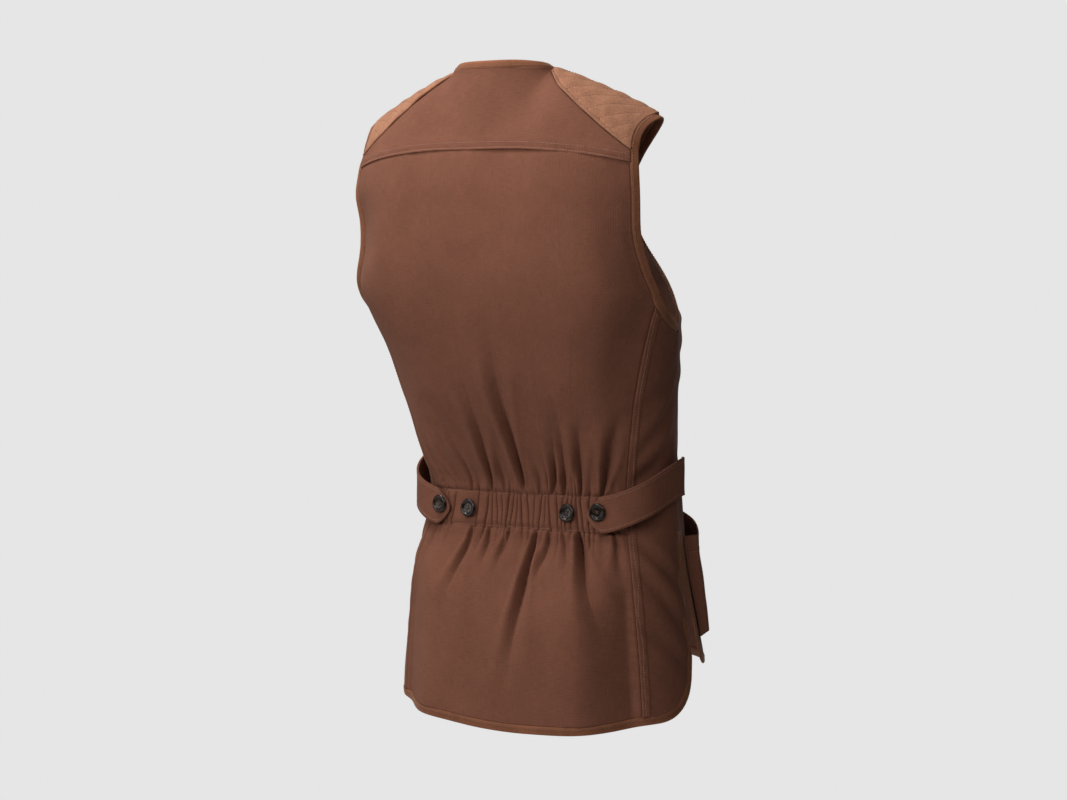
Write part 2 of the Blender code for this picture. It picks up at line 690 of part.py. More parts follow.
def band_skin(lift):
    """Skin of the waistband over the back between its seams."""
    spread = np.linspace(-1.0, 1.0, 2 * BAND_PLEATS + 1)[None, :]
    height = np.asarray((BAND_BOTTOM, -0.495, -0.485, -0.475, BAND_TOP))[:, None] + 0.0 * spread
    inset = SEAM_GAP / 2 / section_length(back_form, height)
    return lifted(skin(back_form, spread * (1.0 - inset), height), lift), spread


def build_waistband(collection):
    """Elastic channel over the back between its seams, in narrow upright pleats."""
    surface, spread = band_skin(CLOTH + LAYER_GAP)
    index = np.arange(spread.shape[1])[None, :]
    fullness = np.array([0.35, 0.9, 1.0, 0.9, 0.35])[:, None]
    relief = band_relief(index, spread) * fullness * (1.0 - blend(np.abs(spread), 0.95, 1.0))
    panel("waistband", surface, CANVAS, collection, relief=relief)


def tab_curve(count):
    """Plan points of a waist tab from the side seam to its pointed end."""
    start = np.array(TAB_ROOT)
    end = np.array(TAB_END)
    first = start + np.array(TAB_LEAVE)
    second = end + np.array(TAB_ARRIVE)
    t = np.linspace(0.0, 1.0, count)[:, None]
    s = 1.0 - t
    curve = s**3 * start + 3 * s * s * t * first + 3 * s * t * t * second + t**3 * end
    return np.concatenate([[TAB_SEAM], curve])


def tab_middle(travelled, hand):
    """Height of a tab's middle line by the share of its length; the left one leaves the seam higher."""
    root = TAB_ROOT_Z + (TAB_LEFT_RISE if hand == LEFT else 0.0)
    return root + (TAB_TIP_Z - root) * blend(travelled, 0.0, 0.95)


def tab_skin(hand):
    """Waist tab, standing clear of the side and lying on the waistband's end."""
    plan = tab_curve(18)
    steps = np.linalg.norm(np.diff(plan, axis=0), axis=1)
    travelled = np.concatenate([[0.0], np.cumsum(steps)])
    left = travelled[-1] - travelled
    half = TAB_HEIGHT / 2 * np.sqrt(np.clip(left / TAB_POINT, 0.03, 1.0))
    climb = np.array([-1.0, 0.0, 1.0])[:, None]
    height = tab_middle(travelled / travelled[-1], hand) + half * climb
    points = with_height(np.broadcast_to(plan, (3,) + plan.shape), height)
    run = unit(np.gradient(plan, axis=0))
    square = np.stack([-run[:, 1], run[:, 0], np.zeros(len(run))], axis=-1)
    return mirrored(Skin(points, np.broadcast_to(-square, points.shape)), hand)


def thinned(line):
    """Boundary line without the points that crowd the joint of two panels."""
    keep = [0]
    for i in range(1, len(line.points)):
        if np.linalg.norm(line.points[i] - line.points[keep[-1]]) > BINDING_CROWD:
            keep.append(i)
    return picked(line, keep)


def edge_direction(line, closed):
    """Unit direction in a boundary's surface, square to the boundary."""
    points = line.points
    if closed:
        run = np.roll(points, -1, axis=0) - np.roll(points, 1, axis=0)
    else:
        run = np.gradient(points, axis=0)
    return unit(np.cross(unit(run), line.outward))


def binding(name, line, collection, width=BINDING_WIDTH, closed=False, side=1.0, lean=None):
    """Suede binding that continues a panel's boundary line, proud of the cloth on both faces.

    The side turns the binding to the free side of the line. The lean replaces the binding's own
    direction, where it has a weight, by a direction of its own.
    """
    away = side * edge_direction(line, closed)
    outward = line.outward
    if lean is not None:
        weight, direction = lean
        away = unit(away * (1.0 - weight) + direction * weight)
        across = np.cross(np.gradient(line.points, axis=0), away)
        across = unit(across * np.sign(np.sum(across * outward, axis=-1))[:, None])
        outward = unit(outward * (1.0 - weight) + across * weight)
    inside = line.points + SEAM_GAP * away
    middle = inside + 0.86 * width * away
    edge = inside + width * away
    thin = 0.45 * BINDING_HALF
    low = line.outward * BINDING_HALF
    outer = np.stack([inside + low, middle + outward * BINDING_HALF, edge + outward * thin])
    inner = np.stack([inside - low, middle - outward * BINDING_HALF, edge - outward * thin])
    wall(name, outer, inner, EDGING, collection, closed=closed)


def build_armhole_bindings(yoke, back, patch, collection, sides, fronts):
    """Bindings round the armholes, along the boundaries of the panels that meet there."""
    ridge = PATCH_BACK_ROWS
    head = BACK_ROWS.index(ROWS[-1])
    under = FRONT_ROWS.index(ROWS[-1])
    for side, hand in HANDS:
        line = joined([
            picked(mirrored(patch, hand), (slice(ridge, None, -1), 0)),
            picked(mirrored(yoke, hand), (slice(None, None, -1), -1)),
            picked(mirrored(back, hand), (slice(None, head - 1, -1), -1)),
            picked(sides[side], (-1, slice(1, -1))),
            picked(fronts[side], (slice(under, None), 0)),
            picked(mirrored(patch, hand), (slice(-1, ridge, -1), 0)),
        ])
        line = thinned(line)
        binding("armhole_binding_" + side, line, collection, closed=True, side=hand)


def build_neck_binding(yoke, patch, collection, fronts):
    """Binding round the neck and down both edges of the V."""
    centre = yoke.points.shape[1] // 2
    low = FRONT_ROWS.index(ROWS[-2])
    halves = []
    for side, hand in HANDS:
        halves.append(joined([
            picked(mirrored(yoke, hand), (-1, slice(centre, centre + 7))),
            picked(mirrored(patch, hand), (slice(PATCH_BACK_ROWS, None), -1)),
            picked(fronts[side], (slice(-2, low - 1, -1), -1)),
        ]))
    right = picked(halves[1], slice(None, 0, -1))
    line = thinned(joined([right, halves[0]]))
    share = np.clip(np.abs(line.points[:, 0]) / NECK_HALF_WIDTH, 0.0, 1.0)[:, None] ** 2
    hand = np.sign(line.points[:, :1])
    back = np.array([0.0, -0.25, 0.97])
    point = np.concatenate([-0.78 * hand, 0.0 * hand, 0.62 + 0.0 * hand], axis=1)
    direction = unit(back * (1.0 - share) + point * share)
    weight = 1.0 - blend(-line.points[:, 2], 0.002, 0.050)[:, None]
    binding("neck_binding", line, collection, width=NECK_RISE, lean=(weight, direction))


def build_hem_bindings(back, collection, sides, fronts):
    """Bindings round the back hem and up its vents, and down the vents and hems of the fronts."""
    top = ROWS.index(VENT_START)
    halves = [
        joined([
            picked(sides[side], (0, slice(1, None))),
            picked(sides[side], (slice(1, top + 1), -1)),
        ])
        for side, hand in HANDS
    ]
    line = joined([
        picked(halves[1], slice(None, None, -1)),
        picked(back, (0, slice(0, None, 2))),
        halves[0],
    ])
    binding("back_hem_binding", line, collection, side=-1.0)
    top = FRONT_ROWS.index(VENT_START)
    for side, hand in HANDS:
        line = joined([
            picked(fronts[side], (slice(top, 0, -1), 0)),
            picked(fronts[side], (0, slice(0, None))),
        ])
        binding("front_hem_binding_" + side, line, collection, side=-hand)


def build_pockets(collection):
    """Bellows pockets on the fronts: a face that stands off, closed at its sides and foot."""
    slope = POCKET_SLOPE / FRONT_SECTION
    thin = POCKET_CLOTH / FRONT_SECTION
    shares = np.array([0.0, 0.0, 0.25, 0.5, 0.75, 1.0, 1.0])[None, :]
    inset = np.array([0.0, 1.0, 1.0, 0.0, -1.0, -1.0, 0.0])[None, :]
    side = np.array([0.0, 1.0, 1.0, 1.0, 1.0, 1.0, 0.0])[None, :]
    climb = np.array([0.0, 0.0, 0.25, 0.5, 0.75, 1.0])[:, None]
    foot = np.array([0.0, 1.0, 0.7, 0.4, 0.2, 0.0])[:, None]
    stand = np.array([0.0, 0.55, 0.68, 0.80, 0.92, 1.0])[:, None]
    t = POCKET_NEAR + (POCKET_FAR - POCKET_NEAR) * shares
    top = POCKET_TOP_NEAR + (POCKET_TOP_FAR - POCKET_TOP_NEAR) * shares
    height = POCKET_BOTTOM + (top - POCKET_BOTTOM) * climb
    base = CLOTH / 2 + 2 * LAYER_GAP
    depth = POCKET_DEPTH * stand * side
    away = np.array([1.0, 1.0, 0.5, 0.0, -0.5, -1.0, -1.0])[None, :]
    level = np.array([1.0, 1.0, 0.5, 0.0, 0.0, 0.0])[:, None]
    outer = skin(front_form, t + slope * inset, height + POCKET_SLOPE * foot)
    inner = skin(
        front_form, t + slope * inset + thin * away, height + POCKET_SLOPE * foot + POCKET_CLOTH * level
    )
    outer = lifted(outer, base + depth).points
    inner = lifted(inner, base + np.maximum(depth - POCKET_CLOTH, 0.0)).points
    for side_name, hand in HANDS:
        flip = np.array([hand, 1.0, 1.0])
        wall("pocket_" + side_name, outer * flip, inner * flip, CANVAS, collection, POCKET_SLANTS)


def button(name, seat, outward, collection):
    """Turned horn button with a raised rim, its flat back on the seat point."""
    radius, thick = BUTTON_RADIUS, BUTTON_THICKNESS
    profile = (
        (0.0, 0.62 * thick),
        (0.66 * radius, 0.62 * thick),
        (0.82 * radius, thick),
        (radius, 0.55 * thick),
        (0.80 * radius, 0.0),
        (0.0, 0.0),
    )
    bm = bmesh.new()
    verts = [bm.verts.new((x, 0.0, z)) for x, z in profile]
    edges = [bm.edges.new(pair) for pair in zip(verts, verts[1:])]
    bmesh.ops.spin(
        bm, geom=verts + edges, axis=(0, 0, 1), cent=(0, 0, 0), angle=math.tau,
        steps=BUTTON_SEGMENTS, use_merge=True,
    )
    bmesh.ops.remove_doubles(bm, verts=bm.verts, dist=1e-5)
    made = add_object(name, bm, HORN, collection)
    made.location = seat
    made.rotation_mode = "QUATERNION"
    made.rotation_quaternion = Vector(outward).to_track_quat("Z", "Y")


def build_back_buttons(collection):
    """Buttons on the waistband and on the ends of the tabs."""
    share = np.linspace(0.0, 1.0, 201)
    places = back_form(share, np.full_like(share, BAND_BUTTON_Z))[:, 0]
    across = np.interp(BAND_BUTTON_X, places, share)
    seat = skin(back_form, across, BAND_BUTTON_Z)
    pleat_top = CLOTH / 2 + LAYER_GAP + CLOTH + PLEAT_RISE * (1.0 + PLEAT_UNEVEN)
    seat = Skin(seat.points + seat.outward * pleat_top, seat.outward)
    curve = tab_curve(60)[::-1]
    place = np.array([np.interp(TAB_BUTTON_X, curve[:, 0], curve[:, 1])])
    index = np.searchsorted(curve[:, 0], TAB_BUTTON_X)
    run = unit(curve[index] - curve[index - 1])
    square = np.array([-run[1], run[0], 0.0])
    square = square * np.sign(square[1])
    tab_seat = np.array([TAB_BUTTON_X, place[0], TAB_BUTTON_Z]) + square * (TAB_CLOTH / 2 + BUTTON_SEAT)
    for side, hand in HANDS:
        flip = np.array([hand, 1.0, 1.0])
        button("band_button_" + side, seat.points * flip, seat.outward * flip, collection)
        button("tab_button_" + side, tab_seat * flip, square * flip, collection)


def build_front_buttons(collection):
    """Buttons down the centre of the left front."""
    for number, height in enumerate(FRONT_BUTTON_HEIGHTS, start=1):
        seat = skin(front_form, 1.0, height)
        lift = OVERLAP_LIFT + CLOTH / 2 + BUTTON_SEAT
        button(f"front_button_{number}", seat.points + seat.outward * lift, seat.outward, collection)


def remove_objects():
    """Empty the scene."""
    for old in list(bpy.data.objects):
        bpy.data.objects.remove(old, do_unlink=True)


def build_vest():
    """Build every piece of the vest in its own collection."""
    remove_objects()
    collection = bpy.data.collections.new("shooting_vest")
    bpy.context.scene.collection.children.link(collection)
    back, sparse = back_skin()
    yoke = yoke_skin()
    patch = patch_skin()
    sides = {side: side_skin(hand) for side, hand in HANDS}
    fronts = {side: front_skin(hand) for side, hand in HANDS}
    panel("back", back, CANVAS, collection, sparse=sparse)
    columns = np.arange(yoke.points.shape[1])
    panel("yoke", yoke, CANVAS, collection, slant=np.where(columns < len(columns) // 2, -1, 1))
    for side, hand in HANDS:
        panel("side_panel_" + side, sides[side], CANVAS, collection)
        panel("front_" + side, fronts[side], CANVAS, collection)
        panel("waist_tab_" + side, tab_skin(hand), CANVAS, collection, cloth=TAB_CLOTH)
    build_patches(patch, collection)
    build_waistband(collection)
    build_armhole_bindings(yoke, back, patch, collection, sides, fronts)
    build_neck_binding(yoke, patch, collection, fronts)
    build_hem_bindings(back, collection, sides, fronts)
    build_pockets(collection)
    build_back_buttons(collection)
    build_front_buttons(collection)


build_vest()
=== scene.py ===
"""Looks of a men's shooting vest, worn shape, seen from behind and to the wearer's right.

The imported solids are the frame. Each cloth panel is laid again on the same garment form as a thin
shell with its creases, seams and stitch rows, and bindings, buttons and quilting are modelled at
their real size. Everything is in metres, +Z up, the front towards -Y and the wearer's left at +X.
"""

import logging
import math
from collections.abc import Callable, Iterable, Sequence
from dataclasses import dataclass, field
from enum import Enum

import bmesh
import bpy
import numpy as np
from mathutils import Matrix, Vector


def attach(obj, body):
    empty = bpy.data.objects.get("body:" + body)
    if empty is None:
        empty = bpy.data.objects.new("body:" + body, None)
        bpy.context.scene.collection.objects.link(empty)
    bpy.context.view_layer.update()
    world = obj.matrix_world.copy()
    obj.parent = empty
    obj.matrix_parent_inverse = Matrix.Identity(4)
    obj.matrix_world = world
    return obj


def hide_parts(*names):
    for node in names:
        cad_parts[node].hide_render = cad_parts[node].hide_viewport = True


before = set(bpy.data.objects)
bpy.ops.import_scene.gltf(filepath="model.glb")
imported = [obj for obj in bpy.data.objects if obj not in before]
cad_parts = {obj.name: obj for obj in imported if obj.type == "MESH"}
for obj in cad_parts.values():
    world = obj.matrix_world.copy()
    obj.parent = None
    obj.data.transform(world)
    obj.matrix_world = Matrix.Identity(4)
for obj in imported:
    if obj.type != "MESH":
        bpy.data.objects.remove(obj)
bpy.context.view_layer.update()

LOG = logging.getLogger("shooting_vest")
BODY = "root"
SHADER = "Principled BSDF"
RIB_PITCH = 0.0026

Array = np.ndarray
Line = tuple[Array, Array]
Form = Callable[[Array, Array], Array]
Place = tuple[float, float, float]
Colour = tuple[float, float, float]
Socket = bpy.types.NodeSocket


class Hand(Enum):
    """Half of the vest, as the sign of X."""

    LEFT = 1.0
    RIGHT = -1.0

    @property
    def word(self) -> str:
        """Name of the half, as piece names end."""
        return self.name.lower()

    @property
    def flip(self) -> Array:
        """Factors that turn the left half's points into this half's."""
        return np.array([self.value, 1.0, 1.0])


class Edge(Enum):
    """Edge of a cloth's grid: first row, last row, first column or last column."""

    LOW = "low"
    HIGH = "high"
    NEAR = "near"
    FAR = "far"


def blend(value: Array | float, low: float, high: float) -> Array:
    """Smooth step of a value, from 0 at low to 1 at high."""
    t = np.clip((np.asarray(value, float) - low) / (high - low), 0.0, 1.0)
    return t * t * (3.0 - 2.0 * t)


def unit(vectors: Array) -> Array:
    """Vectors scaled to length 1."""
    return vectors / np.maximum(np.linalg.norm(vectors, axis=-1), 1e-9)[..., None]


def bell(value: Array | float, middle: float, width: Array | float) -> Array:
    """Round rise that is 1 at the middle and falls off over its width."""
    return np.exp(-(((value - middle) / width) ** 2))


def distances(points: Array) -> Array:
    """Metres along a row of points from its first one."""
    return np.concatenate([[0.0], np.cumsum(np.linalg.norm(np.diff(points, axis=0), axis=1))])


def read_at(at: Array, far: Array, table: Array) -> Array:
    """Rows of a table read at places between its own, with straight lines between."""
    return np.stack([np.interp(at, far, values) for values in table.T], axis=1)


def through(knots: Sequence[float], table: Sequence[Sequence[float]], at: Array) -> Array:
    """Rows of a smooth curve that passes through a table.

    Args:
        knots: Rising places of the table's rows.
        table: Rows of values.
        at: Places where the curve is read.

    Returns:
        One row of values for each place.
    """
    knots = np.asarray(knots, float)
    table = np.asarray(table, float)
    at = np.clip(np.asarray(at, float), knots[0], knots[-1])
    slopes = np.gradient(table, knots, axis=0)
    index = np.clip(np.searchsorted(knots, at) - 1, 0, len(knots) - 2)
    span = (knots[index + 1] - knots[index])[..., None]
    t = (at[..., None] - knots[index][..., None]) / span
    rise = t * t * (3.0 - 2.0 * t)
    start = table[index] * (1.0 - rise) + table[index + 1] * rise
    leave = (t - 2.0 * t**2 + t**3) * span * slopes[index]
    arrive = (t**3 - t**2) * span * slopes[index + 1]
    return start + leave + arrive


def heading(degrees: Array) -> Array:
    """Plan direction of a turn from +X towards -Y."""
    angle = np.radians(degrees)
    return np.stack([np.cos(angle), -np.sin(angle)], axis=-1)


def arc(start: Array, start_turn: Array, end: Array, end_turn: Array, t: Array) -> Array:
    """Plan points of a cubic arc that leaves and arrives at two headings."""
    reach = 0.37 * np.linalg.norm(end - start, axis=-1)[..., None]
    first = start + reach * heading(start_turn)
    second = end - reach * heading(end_turn)
    t = t[..., None]
    s = 1.0 - t
    return s**3 * start + 3.0 * s * s * t * first + 3.0 * s * t * t * second + t**3 * end


def column(start: Array, leave: Array, end: Array, arrive: Array, q: Array) -> Array:
    """Points of a cubic that leaves the start and arrives at the end with two tangents."""
    q = q[..., None]
    held = (2 * q**3 - 3 * q**2 + 1) * start + (3 * q**2 - 2 * q**3) * end
    return held + (q**3 - 2 * q**2 + q) * leave + (q**3 - q**2) * arrive


def with_height(plan: Array, height: Array) -> Array:
    """Plan points with their heights."""
    return np.concatenate([plan, np.asarray(height, float)[..., None]], axis=-1)


def ripple(first: Array, second: Array, scale: float, seed: int) -> Array:
    """Soft uneven waves over a surface, from about -1 to 1.

    Args:
        first: Metres along the surface one way.
        second: Metres along the surface the other way.
        scale: Typical distance between two crests.
        seed: Chooses another set of waves.

    Returns:
        Height of the waves at each point.
    """
    draw = np.random.default_rng(seed)
    total = np.zeros(np.broadcast(first, second).shape)
    for _ in range(6):
        turn = draw.uniform(0.0, math.tau)
        length = scale * draw.uniform(0.7, 1.6)
        along = first * math.cos(turn) + second * math.sin(turn)
        total = total + np.sin(math.tau * along / length + draw.uniform(0.0, math.tau))
    return total / 3.0


# Plan sections of the garment: height, centre back, side-back seam, side seam and centre front
LEVELS = (
    (-0.730, 0.020, 0.1615, -0.0300, 36, 0.1850, -0.0965, 108, -0.214),
    (-0.655, 0.016, 0.1570, -0.0300, 38, 0.1805, -0.0965, 108, -0.214),
    (-0.600, 0.010, 0.1517, -0.0297, 40, 0.1735, -0.0958, 108, -0.213),
    (-0.550, -0.004, 0.1455, -0.0310, 38, 0.1665, -0.0955, 108, -0.211),
    (-0.505, -0.025, 0.1340, -0.0405, 31, 0.1605, -0.1000, 108, -0.208),
    (-0.465, -0.027, 0.1292, -0.0445, 31, 0.1565, -0.1030, 108, -0.205),
    (-0.415, -0.005, 0.1405, -0.0325, 41, 0.1550, -0.1000, 110, -0.204),
    (-0.369, 0.019, 0.1520, -0.0230, 47, 0.1600, -0.0900, 112, -0.206),
    (-0.303, 0.043, 0.1730, -0.0120, 53, 0.1790, -0.0690, 114, -0.213),
    (-0.272, 0.053, 0.1865, -0.0050, 58, 0.1900, -0.0520, 116, -0.216),
    (-0.243, 0.060, 0.1980, 0.0000, 60, 0.1990, -0.0400, 116, -0.216),
    (-0.214, 0.064, 0.1945, 0.0130, 52, 0.2030, -0.0300, 116, -0.210),
    (-0.186, 0.066, 0.1900, 0.0195, 46, 0.2030, -0.0250, 116, -0.200),
    (-0.142, 0.066, 0.1892, 0.0216, 42, 0.2030, -0.0250, 116, -0.180),
)
LEVEL_HEIGHTS = tuple(row[0] for row in LEVELS)

# How far the front's edge swings out below the vent's top: height, x and y
FLARES = (
    (-0.730, 0.0080, -0.0110),
    (-0.655, 0.0062, -0.0090),
    (-0.600, 0.0042, -0.0062),
    (-0.550, 0.0020, -0.0030),
    (-0.505, 0.0, 0.0),
)

# Front sections above the underarm: height, edge point and turn, neck point and turn
STRAPS = (
    (-0.258, 0.1790, -0.0650, -0.2580, 120, 0.0110, -0.2130, -0.2650, 178),
    (-0.238, 0.1630, -0.0790, -0.2380, 124, 0.0190, -0.2060, -0.2410, 174),
    (-0.215, 0.1430, -0.0880, -0.2150, 128, 0.0290, -0.1930, -0.2130, 168),
    (-0.190, 0.1270, -0.0850, -0.1920, 130, 0.0375, -0.1770, -0.1830, 164),
    (-0.162, 0.1190, -0.0750, -0.1660, 132, 0.0450, -0.1600, -0.1530, 160),
)
SEAM_CHECKS = (-0.295, -0.287, -0.279)

# Long folds of the back: foot and head across, head height, depth and width at the foot
FOLDS = (
    (0.80, 0.93, -0.380, 0.0020, 0.0040),
    (0.62, 0.72, -0.400, 0.0016, 0.0034),
    (0.50, 0.58, -0.340, 0.0022, 0.0045),
    (0.25, 0.22, -0.310, 0.0040, 0.0042),
    (0.11, 0.13, -0.400, 0.0018, 0.0036),
    (-0.03, -0.09, -0.250, 0.0050, 0.0042),
    (-0.17, -0.22, -0.400, 0.0018, 0.0036),
    (-0.31, -0.42, -0.360, 0.0034, 0.0040),
    (-0.47, -0.43, -0.350, 0.0034, 0.0042),
    (-0.63, -0.64, -0.350, 0.0032, 0.0042),
    (-0.78, -0.99, -0.355, 0.0052, 0.0042),
    (0.82, 0.90, -0.570, 0.0018, 0.0040),
    (0.47, 0.48, -0.600, 0.0030, 0.0036),
    (0.25, 0.29, -0.560, 0.0026, 0.0034),
    (0.06, 0.09, -0.560, 0.0026, 0.0036),
    (-0.14, -0.10, -0.690, 0.0062, 0.0038),
    (-0.27, -0.21, -0.575, 0.0028, 0.0034),
    (-0.45, -0.47, -0.560, 0.0020, 0.0034),
    (-0.60, -0.80, -0.640, 0.0058, 0.0060),
    (-0.86, -0.98, -0.565, 0.0032, 0.0040),
)

# Creases of the waistband from the wearer's left to the right: place across the back and depth
CREASES = (
    (0.99, 0.3), (0.93, 0.4), (0.86, 0.3), (0.80, 0.4), (0.74, 0.3), (0.672, 0.45), (0.405, 0.9),
    (0.304, 0.75), (0.255, 0.4), (0.206, 0.4), (0.158, 0.3), (0.110, 0.95), (0.063, 0.4),
    (0.020, 0.3), (-0.021, 0.95), (-0.088, 0.7), (-0.145, 0.3), (-0.207, 0.65), (-0.255, 0.3),
    (-0.299, 1.0), (-0.381, 0.7), (-0.430, 0.4), (-0.473, 0.5), (-0.524, 0.5), (-0.573, 0.9),
    (-0.622, 1.0), (-0.689, 0.7), (-0.75, 0.4), (-0.81, 0.5), (-0.87, 0.3), (-0.93, 0.4), (-0.99, 0.3),
)


@dataclass(frozen=True)
class VestForm:
    """Form of the garment, with the same sizes as the solids."""

    binding_width: float = 0.0083
    hem: float = -0.7125
    hem_blend: float = -0.620
    hem_centre: float = -0.7255
    hem_lift: float = 0.0140
    hem_swing: float = 0.0065
    vent_top: float = -0.505
    vent_start: float = -0.5085
    vent_reach: float = 0.0045
    vent_corner: float = 0.062
    band_bottom: float = -0.505
    band_top: float = -0.465
    underarm: float = -0.272
    seam_head: float = -0.243
    arm_drop: float = 0.0134
    across_back: float = -0.142
    chest: float = -0.162
    v_turn: float = -0.270
    v_bottom: float = -0.288
    neck_half_width: float = 0.064
    neck_depth: float = 0.035
    tip: Place = (0.1965, -0.0150, -0.0555)
    shoulder_crown: float = 0.0035
    neck_share: float = 0.33
    patch_end: float = 0.335
    ridge_smoothing: float = 0.16
    overlap: float = 0.0125
    overlap_lift: float = 0.0027
    side_head: float = -0.257
    side_shoulder: float = -0.350
    back_head: float = -0.090
    front_head: float = -0.150
    yoke_centre: float = -0.0888
    yoke_fall: float = 0.0170
    patch_neck: float = -0.0035
    patch_fall: float = 0.0895
    shoulder_gap: float = 0.006
    edge_ease: float = 0.004
    underarm_ease: float = 0.012
    dip_end: float = -0.190
    corner_start: float = 0.30
    corner_reach: float = 0.70
    corner_round: float = 0.98
    side_hem_rise: float = 0.006
    nape_slope: Place = (0.0, -0.050, 0.135)
    neck_slope: Place = (0.0, -0.150, 0.018)
    tip_slope: Place = (0.065, -0.100, 0.035)
    front_tip_slope: Place = (0.055, 0.085, 0.045)
    front_neck_slope: Place = (0.008, 0.125, 0.080)
    slope_step: float = 0.01
    normal_step: float = 0.003
    halvings: int = 22

    def ring(self, part: int, t: Array, height: Array) -> Array:
        """Points of a plan section.

        Args:
            part: 0 for the back and 1 for the side.
            t: Share of the way along the part.
            height: Height of the section.

        Returns:
            Points of the form.
        """
        rows = through(LEVEL_HEIGHTS, [row[1:] for row in LEVELS], height)
        back_y, seam_x, seam_y, seam_turn, side_x, side_y, side_turn = np.moveaxis(rows, -1, 0)[:7]
        zero = np.zeros_like(back_y)
        seam = np.stack([seam_x, seam_y], axis=-1)
        if part == 0:
            plan = arc(np.stack([zero, back_y], axis=-1), zero, seam, seam_turn, t)
        else:
            plan = arc(seam, seam_turn, np.stack([side_x, side_y], axis=-1), side_turn, t)
        return with_height(plan, height)

    def shoulder_top(self, share: Array) -> Array:
        """Top edge of the form: the back neckline, then the shoulder line to its tip."""
        quarter = np.clip(share / self.neck_share, -1.0, 1.0) * math.pi / 2
        along = np.maximum((share - self.neck_share) / (1.0 - self.neck_share), 0.0)
        x = self.neck_half_width * np.sin(quarter) + (self.tip[0] - self.neck_half_width) * along
        y = self.neck_depth * np.cos(quarter) + self.tip[1] * along
        z = self.tip[2] * along + self.shoulder_crown * 4.0 * along * (1.0 - along)
        return np.stack([x, y, z], axis=-1)

    def back(self, across: Array, height: Array) -> Array:
        """Points of the back, up to the shoulder line at height 0.

        Args:
            across: Place from -1 to 1 between the back's edges.
            height: Height coordinate.

        Returns:
            Points of the form.
        """
        across, height = np.broadcast_arrays(np.asarray(across, float), np.asarray(height, float))
        share = np.abs(across)
        level = np.full_like(share, self.across_back)
        base = self.ring(0, share, level)
        leave = base - self.ring(0, share, level - self.slope_step)
        leave = leave / self.slope_step * abs(self.across_back)
        over = blend(share, 0.3 * self.neck_share, 1.5 * self.neck_share)[..., None]
        outward = np.clip((share - self.neck_share) / (1.0 - self.neck_share), 0.0, 1.0)[..., None]
        ridge = np.array(self.neck_slope) * (1.0 - outward) + np.array(self.tip_slope) * outward
        arrive = np.array(self.nape_slope) * (1.0 - over) + ridge * over
        q = np.clip((height - self.across_back) / abs(self.across_back), 0.0, 1.0)
        window = self.ridge_smoothing * (1.0 - q)
        beside = self.shoulder_top(share - window) + self.shoulder_top(share + window)
        top = 0.5 * self.shoulder_top(share) + 0.25 * beside
        high = column(base, leave, top, arrive, q)
        low = self.ring(0, share, np.minimum(height, self.across_back))
        points = np.where((height > self.across_back)[..., None], high, low)
        points[..., 0] *= np.sign(across)
        return points

    def side(self, t: Array, height: Array) -> Array:
        """Points of the side, from the side-back seam at 0 to the side seam at 1."""
        t, height = np.broadcast_arrays(np.asarray(t, float), np.asarray(height, float))
        return self.ring(1, t, height)

    def strap_table(self) -> tuple[list[float], list[tuple[float, ...]]]:
        """Heights and rows of the front's sections: edge point and turn, neck point and turn."""
        low = [height for height in LEVEL_HEIGHTS if height <= self.underarm]
        heights = sorted(low + list(SEAM_CHECKS))
        flares = through([row[0] for row in FLARES], [row[1:] for row in FLARES], heights)
        rows = []
        for height, flare in zip(heights, flares):
            place = through(LEVEL_HEIGHTS, [row[5:] for row in LEVELS], height)
            edge = (place[0] + flare[0], place[1] + flare[1], height, place[2])
            rows.append(edge + (0.0, place[3], height, 180.0))
        return heights + [row[0] for row in STRAPS], rows + [row[1:] for row in STRAPS]

    def front_rows(self, t: Array, height: Array) -> Array:
        """Points of the front's sections; past the neck edge they run on straight."""
        heights, rows = self.strap_table()
        at = np.moveaxis(through(heights, rows, height), -1, 0)
        edge = np.stack([at[0], at[1]], axis=-1)
        neck = np.stack([at[4], at[5]], axis=-1)
        inside = np.clip(t, 0.0, 1.0)
        plan = arc(edge, at[3], neck, at[7], inside)
        past = (t - inside)[..., None] * np.linalg.norm(neck - edge, axis=-1)[..., None]
        return with_height(plan + past * heading(at[7]), at[2] + (at[6] - at[2]) * inside)

    def front(self, t: Array, height: Array) -> Array:
        """Points of the front, up to the shoulder line at height 0.

        Args:
            t: Place from the armhole or side seam at 0 to the V or centre at 1.
            height: Height coordinate.

        Returns:
            Points of the form.
        """
        t, height = np.broadcast_arrays(np.asarray(t, float), np.asarray(height, float))
        low = self.front_rows(t, np.minimum(height, self.chest))
        level = np.full_like(t, self.chest)
        base = self.front_rows(t, level)
        leave = base - self.front_rows(t, level - self.slope_step)
        leave = leave / self.slope_step * abs(self.chest)
        inward = np.clip(t, 0.0, 1.0)
        share = inward[..., None]
        arrive = np.array(self.front_tip_slope) * (1.0 - share) + np.array(self.front_neck_slope) * share
        top = self.shoulder_top(1.0 - inward * (1.0 - self.neck_share))
        q = np.clip((height - self.chest) / abs(self.chest), 0.0, 1.0)
        high = column(base, leave, top, arrive, q)
        return np.where((height > self.chest)[..., None], high, low)

    def skin(self, form: Form, across: Array, height: Array) -> Line:
        """Points of one of the forms above and its outward normals."""
        across, height = np.broadcast_arrays(np.asarray(across, float), np.asarray(height, float))
        step = self.normal_step
        least = -1.0 if form == self.back else 0.0
        up = form(across, np.minimum(height + step, 0.0)) - form(across, height - step)
        ahead = form(np.minimum(across + step, 1.0), height)
        along = ahead - form(np.maximum(np.minimum(across, 1.0) - step, least), height)
        return form(across, height), unit(np.cross(up, along))

